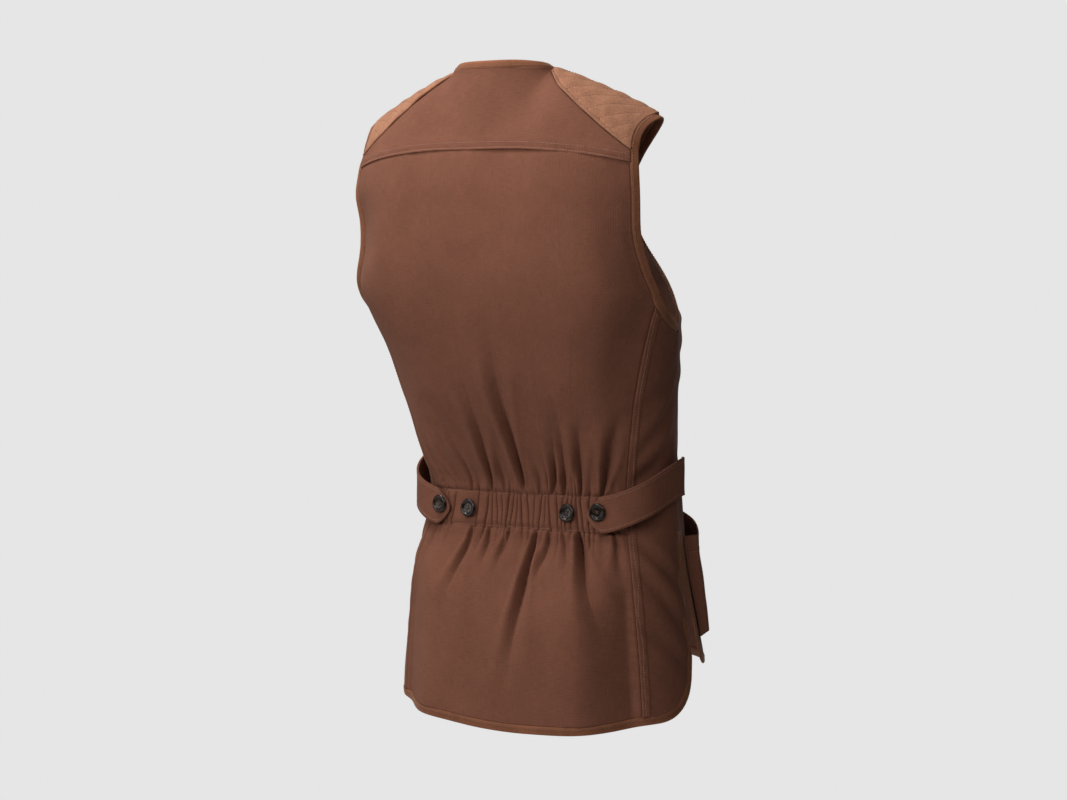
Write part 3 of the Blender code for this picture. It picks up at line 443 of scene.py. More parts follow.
    def height_at(self, across: Array, level: Array) -> Array:
        """Height coordinate at which the back reaches a real level.

        Args:
            across: Place across the back.
            level: Real height in metres.

        Returns:
            Height coordinates.
        """
        across, level = np.broadcast_arrays(np.asarray(across, float), np.asarray(level, float))
        low = np.full(across.shape, self.across_back)
        high = np.zeros(across.shape)
        for _ in range(self.halvings):
            middle = (low + high) / 2
            above = self.back(across, middle)[..., 2] > level
            high = np.where(above, middle, high)
            low = np.where(above, low, middle)
        return low

    def yoke_line(self, across: Array) -> Array:
        """Height coordinate of the yoke seam."""
        share = np.abs(np.asarray(across, float))
        return self.height_at(share, self.yoke_centre - self.yoke_fall * share**2.5)

    def patch_line(self, share: Array) -> Array:
        """Height coordinate of the patch's back seam, from the neck point to the armhole."""
        beyond = np.asarray(share, float) - self.neck_share
        along = np.clip(beyond / (1.0 - self.neck_share), 0.0, 1.0)
        return self.height_at(share, self.patch_neck - self.patch_fall * along**0.95)

    def binding_share(self, form: Form, at_edge: float, height: Array) -> Array:
        """Part of a section that the binding's width takes at an edge."""
        step = 0.004
        inward = -1.0 if at_edge > 0.5 else 1.0
        along = (form(at_edge + inward * step, height) - form(at_edge, height)) / step
        up = unit(form(at_edge, height + step) - form(at_edge, height - step))
        square = along - np.sum(along * up, axis=-1)[..., None] * up
        return self.binding_width / np.linalg.norm(square, axis=-1)

    def back_edge(self, height: Array) -> Array:
        """Across value of the back's edge: the side-back seam, then inside the armhole binding."""
        height = np.asarray(height, float)
        held = np.clip(height, self.seam_head, -self.shoulder_gap)
        taken = self.binding_share(self.back, 1.0, held)
        return 1.0 - taken * blend(height, self.seam_head - self.arm_drop, self.seam_head + self.edge_ease)

    def front_edge(self, height: Array) -> Array:
        """Section value of the front's edge: the side seam, then inside the armhole binding."""
        height = np.asarray(height, float)
        top = self.underarm + self.underarm_ease
        taken = self.binding_share(self.front, 0.0, np.clip(height, top, -self.shoulder_gap))
        return taken * blend(height, self.underarm - self.arm_drop, top)

    def armhole_base(self, t: Array) -> Array:
        """Height of the armhole edge over the side panel."""
        return self.seam_head + (self.underarm - self.seam_head) * np.sin(t * math.pi / 2)

    def arm_dip(self, level: Array) -> Array:
        """How far the rows under the arm dip at the side seam."""
        dip = self.underarm - self.arm_drop - self.side_head
        return dip * np.interp(level, (self.side_shoulder, self.side_head, self.dip_end), (0.0, 1.0, 0.0))

    def back_hem(self, across: Array) -> Array:
        """Height of the back's lower edge."""
        swing = self.hem_swing * blend(across, -0.15, 0.60)
        return self.hem_centre + self.hem_lift * np.abs(across) ** 3 + swing

    def side_hem(self, t: Array, hand: Hand) -> Array:
        """Height of the side panel's lower edge with its rounded corner beside the vent."""
        corner = np.clip((t - self.corner_start) / self.corner_reach, 0.0, 1.0)
        rise = self.vent_corner * (1.0 - np.sqrt(1.0 - self.corner_round * corner**2))
        return self.back_hem(np.array(hand.value)) + self.side_hem_rise * t + rise

    def narrowed(self, share: Array, height: Array) -> Array:
        """Share on the back drawn in so that the armhole's end leaves room for the binding."""
        beyond = np.maximum(share - self.neck_share, 0.0)
        return share - beyond * (1.0 - self.back_edge(height)) / (1.0 - self.neck_share)


def length_of(form: Form, height: Array) -> Array:
    """Straight length of a form's section."""
    return np.linalg.norm(form(1.0, height) - form(0.0, height), axis=-1)


def run_on(line: Line, reach: float) -> Line:
    """Points and directions of a line that is carried on straight past its end."""
    points, outward = line
    beyond = points[-1:] + unit(points[-1:] - points[-2:-1]) * reach
    return np.concatenate([points, beyond]), np.concatenate([outward, outward[-1:]])


def joined(chain: Iterable[tuple["Cloth", tuple]]) -> Line:
    """Points and outward directions of parts of several cloths' grids, one after another."""
    picked = [(cloth.points[place], cloth.outward[place]) for cloth, place in chain]
    points, outward = (np.concatenate(parts) for parts in zip(*picked))
    return points, outward


def stops(*runs: tuple[float, float, int]) -> Array:
    """Rising values from several runs of start, end and count; each run leaves out its end."""
    parts = [np.linspace(start, end, count, endpoint=False) for start, end, count in runs]
    return np.concatenate(parts + [[runs[-1][1]]])


class Graph:
    """Node tree that is filled by short calls."""

    def __init__(self, tree: bpy.types.NodeTree) -> None:
        """Keep the tree that the calls fill."""
        self.tree = tree

    def node(self, kind: str, inputs: dict | None = None, **settings: object) -> bpy.types.Node:
        """Add a node.

        Args:
            kind: Blender's name of the node type.
            inputs: Sockets to link or values to set, by input name or index.
            **settings: Properties of the node.

        Returns:
            The new node.
        """
        made = self.tree.nodes.new(kind)
        for key, value in settings.items():
            setattr(made, key, value)
        for key, value in (inputs or {}).items():
            if isinstance(value, Socket):
                self.tree.links.new(value, made.inputs[key])
            else:
                made.inputs[key].default_value = value
        return made

    def math(self, operation: str, first: object, second: object = 0.0) -> Socket:
        """Result of a math node on two sockets or numbers."""
        return self.node("ShaderNodeMath", {0: first, 1: second}, operation=operation).outputs[0]

    def weighted(self, *terms: tuple[Socket, float]) -> Socket:
        """Sum of several sockets, each times its weight."""
        total = self.math("MULTIPLY", *terms[0])
        for socket, weight in terms[1:]:
            total = self.math("ADD", total, self.math("MULTIPLY", socket, weight))
        return total

    def noise(self, vector: object, scale: float, detail: float = 3.0, **inputs: float) -> Socket:
        """Value of a noise texture."""
        sockets = {"Vector": vector, "Scale": scale, "Detail": detail}
        sockets.update(inputs)
        return self.node("ShaderNodeTexNoise", sockets).outputs[0]

    def ramp(self, value: object, low: float, high: float, start: float, end: float) -> Socket:
        """Smooth map of a value from one range to another."""
        sockets = {"Value": value, "From Min": low, "From Max": high, "To Min": start, "To Max": end}
        made = self.node("ShaderNodeMapRange", sockets, interpolation_type="SMOOTHSTEP")
        return made.outputs[0]

    def mix(self, factor: object, first: object, second: object) -> Socket:
        """Colour between two colours."""
        made = self.node("ShaderNodeMix", data_type="RGBA")
        for index, value in ((0, factor), (6, first), (7, second)):
            if isinstance(value, Socket):
                self.tree.links.new(value, made.inputs[index])
            else:
                made.inputs[index].default_value = value
        return made.outputs[2]


def shaded(colour: Colour, factor: float) -> tuple[float, float, float, float]:
    """Colour made lighter or darker, with full alpha."""
    return (colour[0] * factor, colour[1] * factor, colour[2] * factor, 1.0)


def new_group(name: str, inputs: dict[str, str], outputs: Iterable[str]) -> tuple[Graph, dict]:
    """Start a shader node group.

    Args:
        name: Name of the group.
        inputs: Socket type of each named input.
        outputs: Names of the outputs, all plain values.

    Returns:
        The group's graph, and its input sockets by name.
    """
    tree = bpy.data.node_groups.new(name, "ShaderNodeTree")
    for key, kind in inputs.items():
        tree.interface.new_socket(key, in_out="INPUT", socket_type=kind)
    for key in outputs:
        tree.interface.new_socket(key, in_out="OUTPUT", socket_type="NodeSocketFloat")
    graph = Graph(tree)
    source = graph.node("NodeGroupInput")
    return graph, {key: source.outputs[key] for key in inputs}


def weave_group() -> bpy.types.NodeTree:
    """Group for woven canvas: thread height and tone from a UV map in metres."""
    known = bpy.data.node_groups.get("canvas_weave")
    if known:
        return known
    inputs = {"Cloth": "NodeSocketVector", "Thread": "NodeSocketFloat", "Place": "NodeSocketVector"}
    graph, at = new_group("canvas_weave", inputs, ("Height", "Tone"))
    wander = graph.noise(at["Cloth"], 160.0, 2.0)
    parts = graph.node("ShaderNodeSeparateXYZ", {0: at["Cloth"]})
    rate = graph.math("DIVIDE", math.tau, at["Thread"])
    shift = graph.math("MULTIPLY", wander, 2.2)
    waves = []
    for axis in range(2):
        threads = graph.math("MULTIPLY", parts.outputs[axis], rate)
        waves.append(graph.math("SINE", graph.math("ADD", threads, shift)))
    cross = graph.math("MULTIPLY", *waves)
    slubs = []
    for stretch in ((90.0, 1500.0, 1.0), (1300.0, 70.0, 1.0)):
        drawn = graph.node("ShaderNodeMapping", {"Vector": at["Cloth"], "Scale": stretch})
        slubs.append(graph.noise(drawn.outputs[0], 1.0, 2.0))
    slub = graph.weighted((slubs[0], 0.6), (slubs[1], 0.4))
    broad = graph.noise(at["Place"], 7.0, 3.0)
    middle = graph.noise(at["Place"], 42.0, 3.0)
    height = graph.weighted((cross, 0.35), (slub, 1.0))
    tone = graph.weighted((slub, 0.75), (broad, 0.30), (middle, 0.16), (cross, 0.05))
    bend = graph.math("MULTIPLY", graph.noise(at["Place"], 14.0, 2.0), 9.0)
    ribs = graph.math("MULTIPLY", parts.outputs[0], math.tau / RIB_PITCH)
    ribs = graph.math("SINE", graph.math("ADD", ribs, bend))
    shown = graph.ramp(graph.noise(at["Place"], 9.0, 2.0), 0.42, 0.62, 0.01, 0.05)
    tone = graph.math("ADD", tone, graph.math("MULTIPLY", ribs, shown))
    graph.node("NodeGroupOutput", {"Height": height, "Tone": tone})
    return graph.tree


def nap_group() -> bpy.types.NodeTree:
    """Group for brushed suede: nap height and tone from Object coordinates."""
    known = bpy.data.node_groups.get("suede_nap")
    if known:
        return known
    inputs = {"Place": "NodeSocketVector", "Grain": "NodeSocketFloat"}
    graph, at = new_group("suede_nap", inputs, ("Height", "Tone"))
    fine = graph.noise(at["Place"], 1500.0, 3.0)
    grain = graph.noise(at["Place"], at["Grain"], 5.0)
    brushed = graph.noise(at["Place"], 26.0, 4.0, Distortion=1.2)
    height = graph.weighted((fine, 0.35), (grain, 0.65))
    tone = graph.weighted((grain, 0.45), (brushed, 0.45), (fine, 0.25))
    graph.node("NodeGroupOutput", {"Height": height, "Tone": tone})
    return graph.tree


@dataclass(frozen=True)
class Finish:
    """Base of all finishes: the material's name, the record's slot and its colour."""

    name: str
    slot: str
    colour: Colour
    roughness: float

    def material(self) -> bpy.types.Material:
        """Material of this finish, made once."""
        known = bpy.data.materials.get(self.name)
        if known:
            return known
        made = bpy.data.materials.new(self.name)
        made.use_nodes = True
        shader = made.node_tree.nodes[SHADER]
        shader.inputs["Roughness"].default_value = self.roughness
        self.dress(Graph(made.node_tree), shader)
        return made

    def dress(self, graph: Graph, shader: bpy.types.Node) -> None:
        """Fill the shader's inputs; each finish has its own way."""
        shader.inputs["Base Color"].default_value = shaded(self.colour, 1.0)

    def link(self, graph: Graph, shader: bpy.types.Node, **sockets: Socket) -> None:
        """Link sockets to the shader's inputs, with underscores for the blanks in their names."""
        for key, socket in sockets.items():
            graph.tree.links.new(socket, shader.inputs[key.replace("_", " ")])

    def fix(self, shader: bpy.types.Node, **values: object) -> None:
        """Set the shader's inputs to plain values, named in the same way."""
        for key, value in values.items():
            shader.inputs[key.replace("_", " ")].default_value = value

    def toned(self, graph: Graph, level: Socket, contrast: float) -> Socket:
        """Colour that runs from a darker to a lighter one than the finish's own."""
        low, high = 1.0 - contrast, 1.0 + contrast
        return graph.mix(level, shaded(self.colour, low), shaded(self.colour, high))


@dataclass(frozen=True)
class Canvas(Finish):
    """Brushed cotton canvas in a plain weave, a little lighter on its threads' crowns."""

    thread: float = 0.0011
    bump: float = 0.00016
    contrast: float = 0.30

    def dress(self, graph: Graph, shader: bpy.types.Node) -> None:
        """Weave in colour, roughness and bump."""
        coords = graph.node("ShaderNodeTexCoord")
        group = graph.node("ShaderNodeGroup", node_tree=weave_group())
        graph.tree.links.new(coords.outputs["UV"], group.inputs["Cloth"])
        graph.tree.links.new(coords.outputs["Object"], group.inputs["Place"])
        group.inputs["Thread"].default_value = self.thread
        level = graph.ramp(group.outputs["Tone"], 0.30, 0.92, 0.0, 1.0)
        colour = self.toned(graph, level, self.contrast)
        bump = {"Height": group.outputs["Height"], "Distance": self.bump, "Strength": 0.75}
        normal = graph.node("ShaderNodeBump", bump).outputs[0]
        rough = graph.ramp(group.outputs["Tone"], 0.2, 1.0, self.roughness + 0.06, self.roughness - 0.05)
        self.link(graph, shader, Base_Color=colour, Normal=normal, Roughness=rough)
        self.fix(shader, Sheen_Weight=0.05, Sheen_Roughness=0.45, Specular_IOR_Level=0.12)
        self.fix(shader, Sheen_Tint=(1.0, 0.80, 0.68, 1.0))


@dataclass(frozen=True)
class Suede(Finish):
    """Brushed suede with a fine nap and cloudy brush marks."""

    grain: float = 420.0
    contrast: float = 0.28
    bump: float = 0.00028
    wear: float = 0.0
    crest: tuple[float, float] = (0.0046, 0.0077)

    def dress(self, graph: Graph, shader: bpy.types.Node) -> None:
        """Nap in colour and bump; worn edges lighten where the UV's height reaches the fold."""
        coords = graph.node("ShaderNodeTexCoord")
        group = graph.node("ShaderNodeGroup", node_tree=nap_group())
        graph.tree.links.new(coords.outputs["Object"], group.inputs["Place"])
        group.inputs["Grain"].default_value = self.grain
        level = graph.ramp(group.outputs["Tone"], 0.34, 0.80, 0.0, 1.0)
        colour = self.toned(graph, level, self.contrast)
        if self.wear:
            parts = graph.node("ShaderNodeSeparateXYZ", {0: coords.outputs["UV"]})
            crest = graph.ramp(parts.outputs[1], *self.crest, 0.0, self.wear)
            patchy = graph.ramp(group.outputs["Tone"], 0.35, 0.75, 0.3, 1.0)
            rubbed = graph.math("MULTIPLY", crest, patchy)
            colour = graph.mix(rubbed, colour, shaded(self.colour, 1.9))
        bump = {"Height": group.outputs["Height"], "Distance": self.bump, "Strength": 0.8}
        self.link(graph, shader, Base_Color=colour, Normal=graph.node("ShaderNodeBump", bump).outputs[0])
        self.fix(shader, Sheen_Weight=0.22, Sheen_Roughness=0.40, Specular_IOR_Level=0.15)
        self.fix(shader, Sheen_Tint=(1.0, 0.78, 0.60, 1.0))


@dataclass(frozen=True)
class Horn(Finish):
    """Polished dark horn with paler streaks under a gloss."""

    streak: Colour = (0.16, 0.095, 0.05)

    def dress(self, graph: Graph, shader: bpy.types.Node) -> None:
        """Streaks that run one way through the horn."""
        coords = graph.node("ShaderNodeTexCoord")
        turned = {"Scale": (60.0, 60.0, 260.0), "Rotation": (0.5, 0.3, 0.7)}
        turned["Vector"] = coords.outputs["Object"]
        vector = graph.node("ShaderNodeMapping", turned).outputs[0]
        streaks = graph.ramp(graph.noise(vector, 1.6, 5.0, Distortion=1.8), 0.54, 0.74, 0.0, 0.6)
        colour = graph.mix(streaks, shaded(self.colour, 1.0), shaded(self.streak, 1.0))
        fine = graph.noise(coords.outputs["Object"], 700.0, 2.0)
        scratch = graph.ramp(fine, 0.3, 0.8, self.roughness - 0.06, self.roughness + 0.12)
        self.link(graph, shader, Base_Color=colour, Roughness=scratch)
        self.fix(shader, Specular_IOR_Level=0.32)


@dataclass(frozen=True)
class Thread(Finish):
    """Twisted sewing thread."""

    twist: float = 0.0007

    def dress(self, graph: Graph, shader: bpy.types.Node) -> None:
        """Fine noise stands for the thread's ply."""
        coords = graph.node("ShaderNodeTexCoord")
        ply = graph.noise(coords.outputs["Object"], 1.0 / self.twist, 2.0)
        level = graph.ramp(ply, 0.3, 0.7, 0.0, 1.0)
        colour = graph.mix(level, shaded(self.colour, 0.75), shaded(self.colour, 1.2))
        bump = {"Height": ply, "Distance": 0.0001, "Strength": 0.6}
        self.link(graph, shader, Base_Color=colour, Normal=graph.node("ShaderNodeBump", bump).outputs[0])
        self.fix(shader, Sheen_Weight=0.2)


CANVAS = Canvas("brown_canvas_weave", "brown_canvas", (0.185, 0.0735, 0.0455), 0.90)
QUILT = Suede("tan_suede_nap", "tan_suede", (0.330, 0.150, 0.088), 0.90)
EDGING = Suede("rust_suede_nap", "rust_suede", (0.205, 0.078, 0.040), 0.88, grain=620.0, wear=0.45)
HORN = Horn("polished_horn", "dark_horn", (0.013, 0.007, 0.005), 0.20)
SEWING = Thread("brown_thread", "brown_canvas", (0.320, 0.155, 0.105), 0.75)
SUEDE_SEWING = Thread("rust_thread", "rust_suede", (0.230, 0.100, 0.055), 0.75)
BUTTON_SEWING = Thread("dark_thread", "brown_canvas", (0.070, 0.040, 0.030), 0.75)


def finished(bm: bmesh.types.BMesh, name: str, smooth: bool = True) -> bpy.types.Mesh:
    """Mesh of a bmesh, which is freed."""
    mesh = bpy.data.meshes.new(name)
    bm.to_mesh(mesh)
    bm.free()
    if smooth:
        mesh.shade_smooth()
    return mesh


def placed(name: str, data: bpy.types.ID) -> bpy.types.Object:
    """New object at the origin, linked to the scene."""
    made = bpy.data.objects.new(name, data)
    bpy.context.scene.collection.objects.link(made)
    return made


def put(name: str, mesh: bpy.types.Mesh, finish: Finish) -> bpy.types.Object:
    """Object at the origin for a mesh, with its finish, riding on the vest's body."""
    mesh.materials.append(finish.material())
    made = placed(name, mesh)
    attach(made, BODY)
    return made


@dataclass
class Cloth:
    """Piece of cloth as a grid of points, rows by columns, with the way out of the cloth."""

    name: str
    points: Array
    outward: Array
    finish: Finish = CANVAS
    thickness: float = 0.0016

    def lifted(self, relief: Array | float) -> "Cloth":
        """This cloth with its points moved out along its normals, which then follow the new form."""
        relief = np.broadcast_to(relief, self.points.shape[:2])[..., None]
        self.points = self.points + self.outward * relief
        rows = np.gradient(self.points, axis=0)
        cols = np.gradient(self.points, axis=1)
        fresh = unit(np.cross(rows, cols))
        side = np.sign(np.sum(fresh * self.outward, axis=-1))[..., None]
        self.outward = unit(fresh * side + 1e-6 * self.outward)
        return self

    def relaxed(self, rounds: int) -> "Cloth":
        """This cloth with its inner points drawn to the middle of their neighbours, edges held."""
        for _ in range(rounds):
            grid = self.points
            middle = grid[:-2, 1:-1] + grid[2:, 1:-1] + grid[1:-1, :-2] + grid[1:-1, 2:]
            grid[1:-1, 1:-1] = 0.5 * grid[1:-1, 1:-1] + 0.125 * middle
        return self

    def worn_on(self, hand: Hand) -> "Cloth":
        """This cloth, laid out for the left half, moved to its own half."""
        self.points = self.points * hand.flip
        self.outward = self.outward * hand.flip
        return self

    def travelled(self, axis: int) -> Array:
        """Metres along the grid's rows (axis 1) or columns (axis 0) from their first point."""
        steps = np.linalg.norm(np.diff(self.points, axis=axis), axis=-1)
        pad = [(1, 0), (0, 0)] if axis == 0 else [(0, 0), (1, 0)]
        return np.pad(np.cumsum(steps, axis=axis), pad)

    def line(self, edge: Edge, inset: float, lift: float = 0.0) -> Line:
        """Points on the cloth's outer face at a distance inside an edge.

        Args:
            edge: The edge that the line follows.
            inset: Metres between the edge and the line.
            lift: Metres above the cloth's face.

        Returns:
            Points and outward directions along the line.
        """
        points, outward = self.points, self.outward
        if edge in (Edge.NEAR, Edge.FAR):
            points, outward = points.swapaxes(0, 1), outward.swapaxes(0, 1)
        if edge in (Edge.HIGH, Edge.FAR):
            points, outward = points[::-1], outward[::-1]
        steps = np.linalg.norm(np.diff(points, axis=0), axis=-1)
        far = np.pad(np.cumsum(steps, axis=0), [(1, 0), (0, 0)])
        index = np.clip(np.sum(far < inset, axis=0) - 1, 0, len(points) - 2)
        place = np.arange(points.shape[1])
        start = far[index, place]
        share = ((inset - start) / np.maximum(far[index + 1, place] - start, 1e-9))[:, None]
        line = points[index, place] * (1.0 - share) + points[index + 1, place] * share
        out = unit(outward[index, place] * (1.0 - share) + outward[index + 1, place] * share)
        return line + out * (self.thickness / 2 + lift), out

    def build(self, *nodes: str) -> bpy.types.Object:
        rows, columns = self.points.shape[:2]
        bm = bmesh.new()
        bmesh.ops.create_grid(bm, x_segments=columns - 1, y_segments=rows - 1, size=1.0)
        mesh = finished(bm, self.name, smooth=False)
        place = np.empty(rows * columns * 3)
        mesh.vertices.foreach_get("co", place)
        place = place.reshape(-1, 3)
        col = np.rint((place[:, 0] + 1.0) / 2.0 * (columns - 1)).astype(int)
        row = np.rint((place[:, 1] + 1.0) / 2.0 * (rows - 1)).astype(int)
        mesh.vertices.foreach_set("co", self.points[row, col].ravel())
        uv = np.stack([self.travelled(1), self.travelled(0)], axis=-1)[row, col]
        corners = np.empty(len(mesh.loops), dtype=np.int32)
        mesh.loops.foreach_get("vertex_index", corners)
        mesh.uv_layers.new(name="cloth").data.foreach_set("uv", uv[corners].ravel())
        mesh.update()
        face = mesh.polygons[len(mesh.polygons) // 2]
        middle = self.outward[row, col][face.vertices[0]]
        if np.dot(np.array(face.normal), middle) < 0.0:
            mesh.flip_normals()
        mesh.shade_smooth()
        made = put(self.name, mesh, self.finish)
        wall = made.modifiers.new("cloth_thickness", "SOLIDIFY")
        wall.thickness = self.thickness
        wall.offset = 0.0
        if nodes:
            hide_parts(*nodes)
        return made


@dataclass
class Sewing:
    """Rows of stitches that are joined into one piece."""

    name: str
    thread: Finish = SEWING
    pitch: float = 0.0033
    length: float = 0.0026
    width: float = 0.00078
    rows: list[Line] = field(default_factory=list)

    def sew(self, points: Array, outward: Array, trim: float = 0.0) -> None:
        """Add a row of stitches along a line.

        Args:
            points: Points of the line on the cloth.
            outward: Way out of the cloth at each point.
            trim: Metres left bare at each end.
        """
        far = distances(points)
        count = int((far[-1] - 2.0 * trim) / self.pitch)
        if count < 1:
            return
        at = trim + np.arange(count + 1) * self.pitch
        self.rows.append((read_at(at, far, points), unit(read_at(at, far, outward))))

    def build(self) -> bpy.types.Object:
        """Join all rows into one mesh of small rounded stitches."""
        whole = bmesh.new()
        for place, out in self.rows:
            run = bmesh.new()
            for a, b, up in zip(place, place[1:], out):
                along = Vector(b - a).normalized()
                normal = Vector(up)
                beside = along.cross(normal).normalized()
                size = Matrix.Diagonal((self.length / 2, self.width / 2, self.width / 2, 1.0))
                turn = Matrix((along, beside, normal)).transposed().to_4x4()
                spot = Matrix.Translation(Vector((a + b) / 2))
                bmesh.ops.create_uvsphere(
                    run, u_segments=6, v_segments=3, radius=1.0,
                    matrix=spot @ turn @ size @ Matrix.Rotation(math.pi / 2, 4, "Y"),
                )
            part = finished(run, "stitch_row", smooth=False)
            whole.from_mesh(part)
            bpy.data.meshes.remove(part)
        bmesh.ops.recalc_face_normals(whole, faces=whole.faces)
        mesh = finished(whole, self.name)
        LOG.info("%s: %d rows of stitches, %d triangles", self.name, len(self.rows), len(mesh.polygons))
        return put(self.name, mesh, self.thread)


def drawn_along(points: Array, outward: Array, pitch: float, smooth: int, closed: bool) -> Line:
    """Even stations on a boundary, with directions averaged over neighbours.

    Args:
        points: Points of the boundary.
        outward: Way out of the cloth at each point.
        pitch: Metres between two stations.
        smooth: Rounds of averaging.
        closed: Whether the boundary is a ring.

    Returns:
        Stations and their outward directions.
    """
    if closed:
        points = np.concatenate([points, points[:1]])
        outward = np.concatenate([outward, outward[:1]])
    far = distances(points)
    count = max(int(far[-1] / pitch), 4)
    at = np.linspace(0.0, far[-1], count + 1)[: count if closed else count + 1]
    values = np.concatenate([points, outward], axis=1)
    values = read_at(at, far, values)
    mode = "wrap" if closed else "edge"
    for _ in range(smooth):
        padded = np.pad(values, [(1, 1), (0, 0)], mode=mode)
        fresh = 0.25 * padded[:-2] + 0.5 * padded[1:-1] + 0.25 * padded[2:]
        if not closed:
            fresh[[0, -1]] = values[[0, -1]]
        values = fresh
    return values[:, :3], unit(values[:, 3:])


@dataclass
class Binding:
    """Suede tape folded over a cloth's edge: a rounded profile swept along the boundary."""

    name: str
    width: float = 0.0083
    half: float = 0.0017
    under: float = 0.0012
    pitch: float = 0.0040
    seam_inset: float = 0.0018
    rounds: int = 6
    slack: float = 0.10
    slack_scale: float = 0.011
    slack_seed: int = 71

    def profile(self, count: int = 14) -> tuple[Array, Array]:
        """Distances away from the cloth and out of it, once round the folded tape."""
        turn = np.linspace(0.0, math.tau, count, endpoint=False)
        away = np.sign(np.cos(turn)) * np.abs(np.cos(turn)) ** 0.55
        out = np.sign(np.sin(turn)) * np.abs(np.sin(turn)) ** 0.75
        full = self.half * (1.0 - 0.30 * (away + 1.0) / 2.0)
        return -self.under + (self.width + self.under) * (away + 1.0) / 2.0, full * out

    def build(
        self,
        points: Array,
        outward: Array,
        side: float,
        nodes: Sequence[str],
        sewing: Sewing,
        closed: bool = False,
        lean: tuple[Callable[[Array], Array], Callable[[Array], Array]] | None = None,
    ) -> bpy.types.Object:
        """Sweep the tape and sew it.

        Args:
            points: Boundary of the cloth.
            outward: Way out of the cloth along it.
            side: 1 or -1 for the free side of the boundary.
            nodes: Solids that the tape stands for.
            sewing: Stitches that this tape adds a row to.
            closed: Whether the boundary is a ring.
            lean: Functions of the stations that give a weight and a direction of its own.

        Returns:
            The tape's object.
        """
        line, out = drawn_along(points, outward, self.pitch, self.rounds, closed)
        run = np.gradient(line, axis=0)
        if closed:
            run = np.roll(line, -1, axis=0) - np.roll(line, 1, axis=0)
        away = side * unit(np.cross(unit(run), out))
        if lean is not None:
            weight = lean[0](line)[:, None]
            away = unit(away * (1.0 - weight) + lean[1](line) * weight)
            across = np.cross(run, away)
            across = unit(across * np.sign(np.sum(across * out, axis=-1))[:, None])
            out = unit(out * (1.0 - weight) + across * weight)
        mesh = self.swept(line, away, out, closed)
        made = put(self.name, mesh, EDGING)
        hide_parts(*nodes)
        seam = line + away * self.seam_inset + out * (self.half * 0.93)
        if closed:
            seam, out = np.concatenate([seam, seam[:1]]), np.concatenate([out, out[:1]])
        sewing.sew(seam, out)
        LOG.info("%s: %d stations of folded tape", self.name, len(line))
        return made

    def swept(self, line: Array, away: Array, out: Array, closed: bool) -> bpy.types.Mesh:
        """Tape's profile swept along its stations.

        Args:
            line: Stations on the cloth's boundary.
            away: Way off the cloth at each station.
            out: Way out of the cloth at each station.
            closed: Whether the stations are a ring.

        Returns:
            The tape's mesh, with metres along and across it as its UV map.
        """
        far, thick = self.profile()
        at = np.arange(len(line)) * self.pitch
        slack = 1.0 + self.slack * ripple(at, 0.0 * at, self.slack_scale, self.slack_seed)[:, None, None]
        grid = line[:, None] + away[:, None] * far[None, :, None]
        grid = grid + out[:, None] * thick[None, :, None] * slack
        bm = bmesh.new()
        rings = len(line) + (1 if closed else 0)
        bmesh.ops.create_grid(bm, x_segments=len(far), y_segments=rings - 1, size=1.0)
        layer = bm.loops.layers.uv.new("tape")
        for face in bm.faces:
            for loop in face.loops:
                col = round((loop.vert.co.x + 1.0) / 2.0 * len(far)) % len(far)
                row = round((loop.vert.co.y + 1.0) / 2.0 * (rings - 1))
                loop[layer].uv = (row * self.pitch, far[col])
        for vert in bm.verts:
            col = round((vert.co.x + 1.0) / 2.0 * len(far)) % len(far)
            row = round((vert.co.y + 1.0) / 2.0 * (rings - 1)) % len(line)
            vert.co = grid[row, col]
        bmesh.ops.remove_doubles(bm, verts=bm.verts, dist=1e-6)
        if not closed:
            bmesh.ops.holes_fill(bm, edges=[edge for edge in bm.edges if edge.is_boundary], sides=0)
        bmesh.ops.recalc_face_normals(bm, faces=bm.faces)
        return finished(bm, self.name)


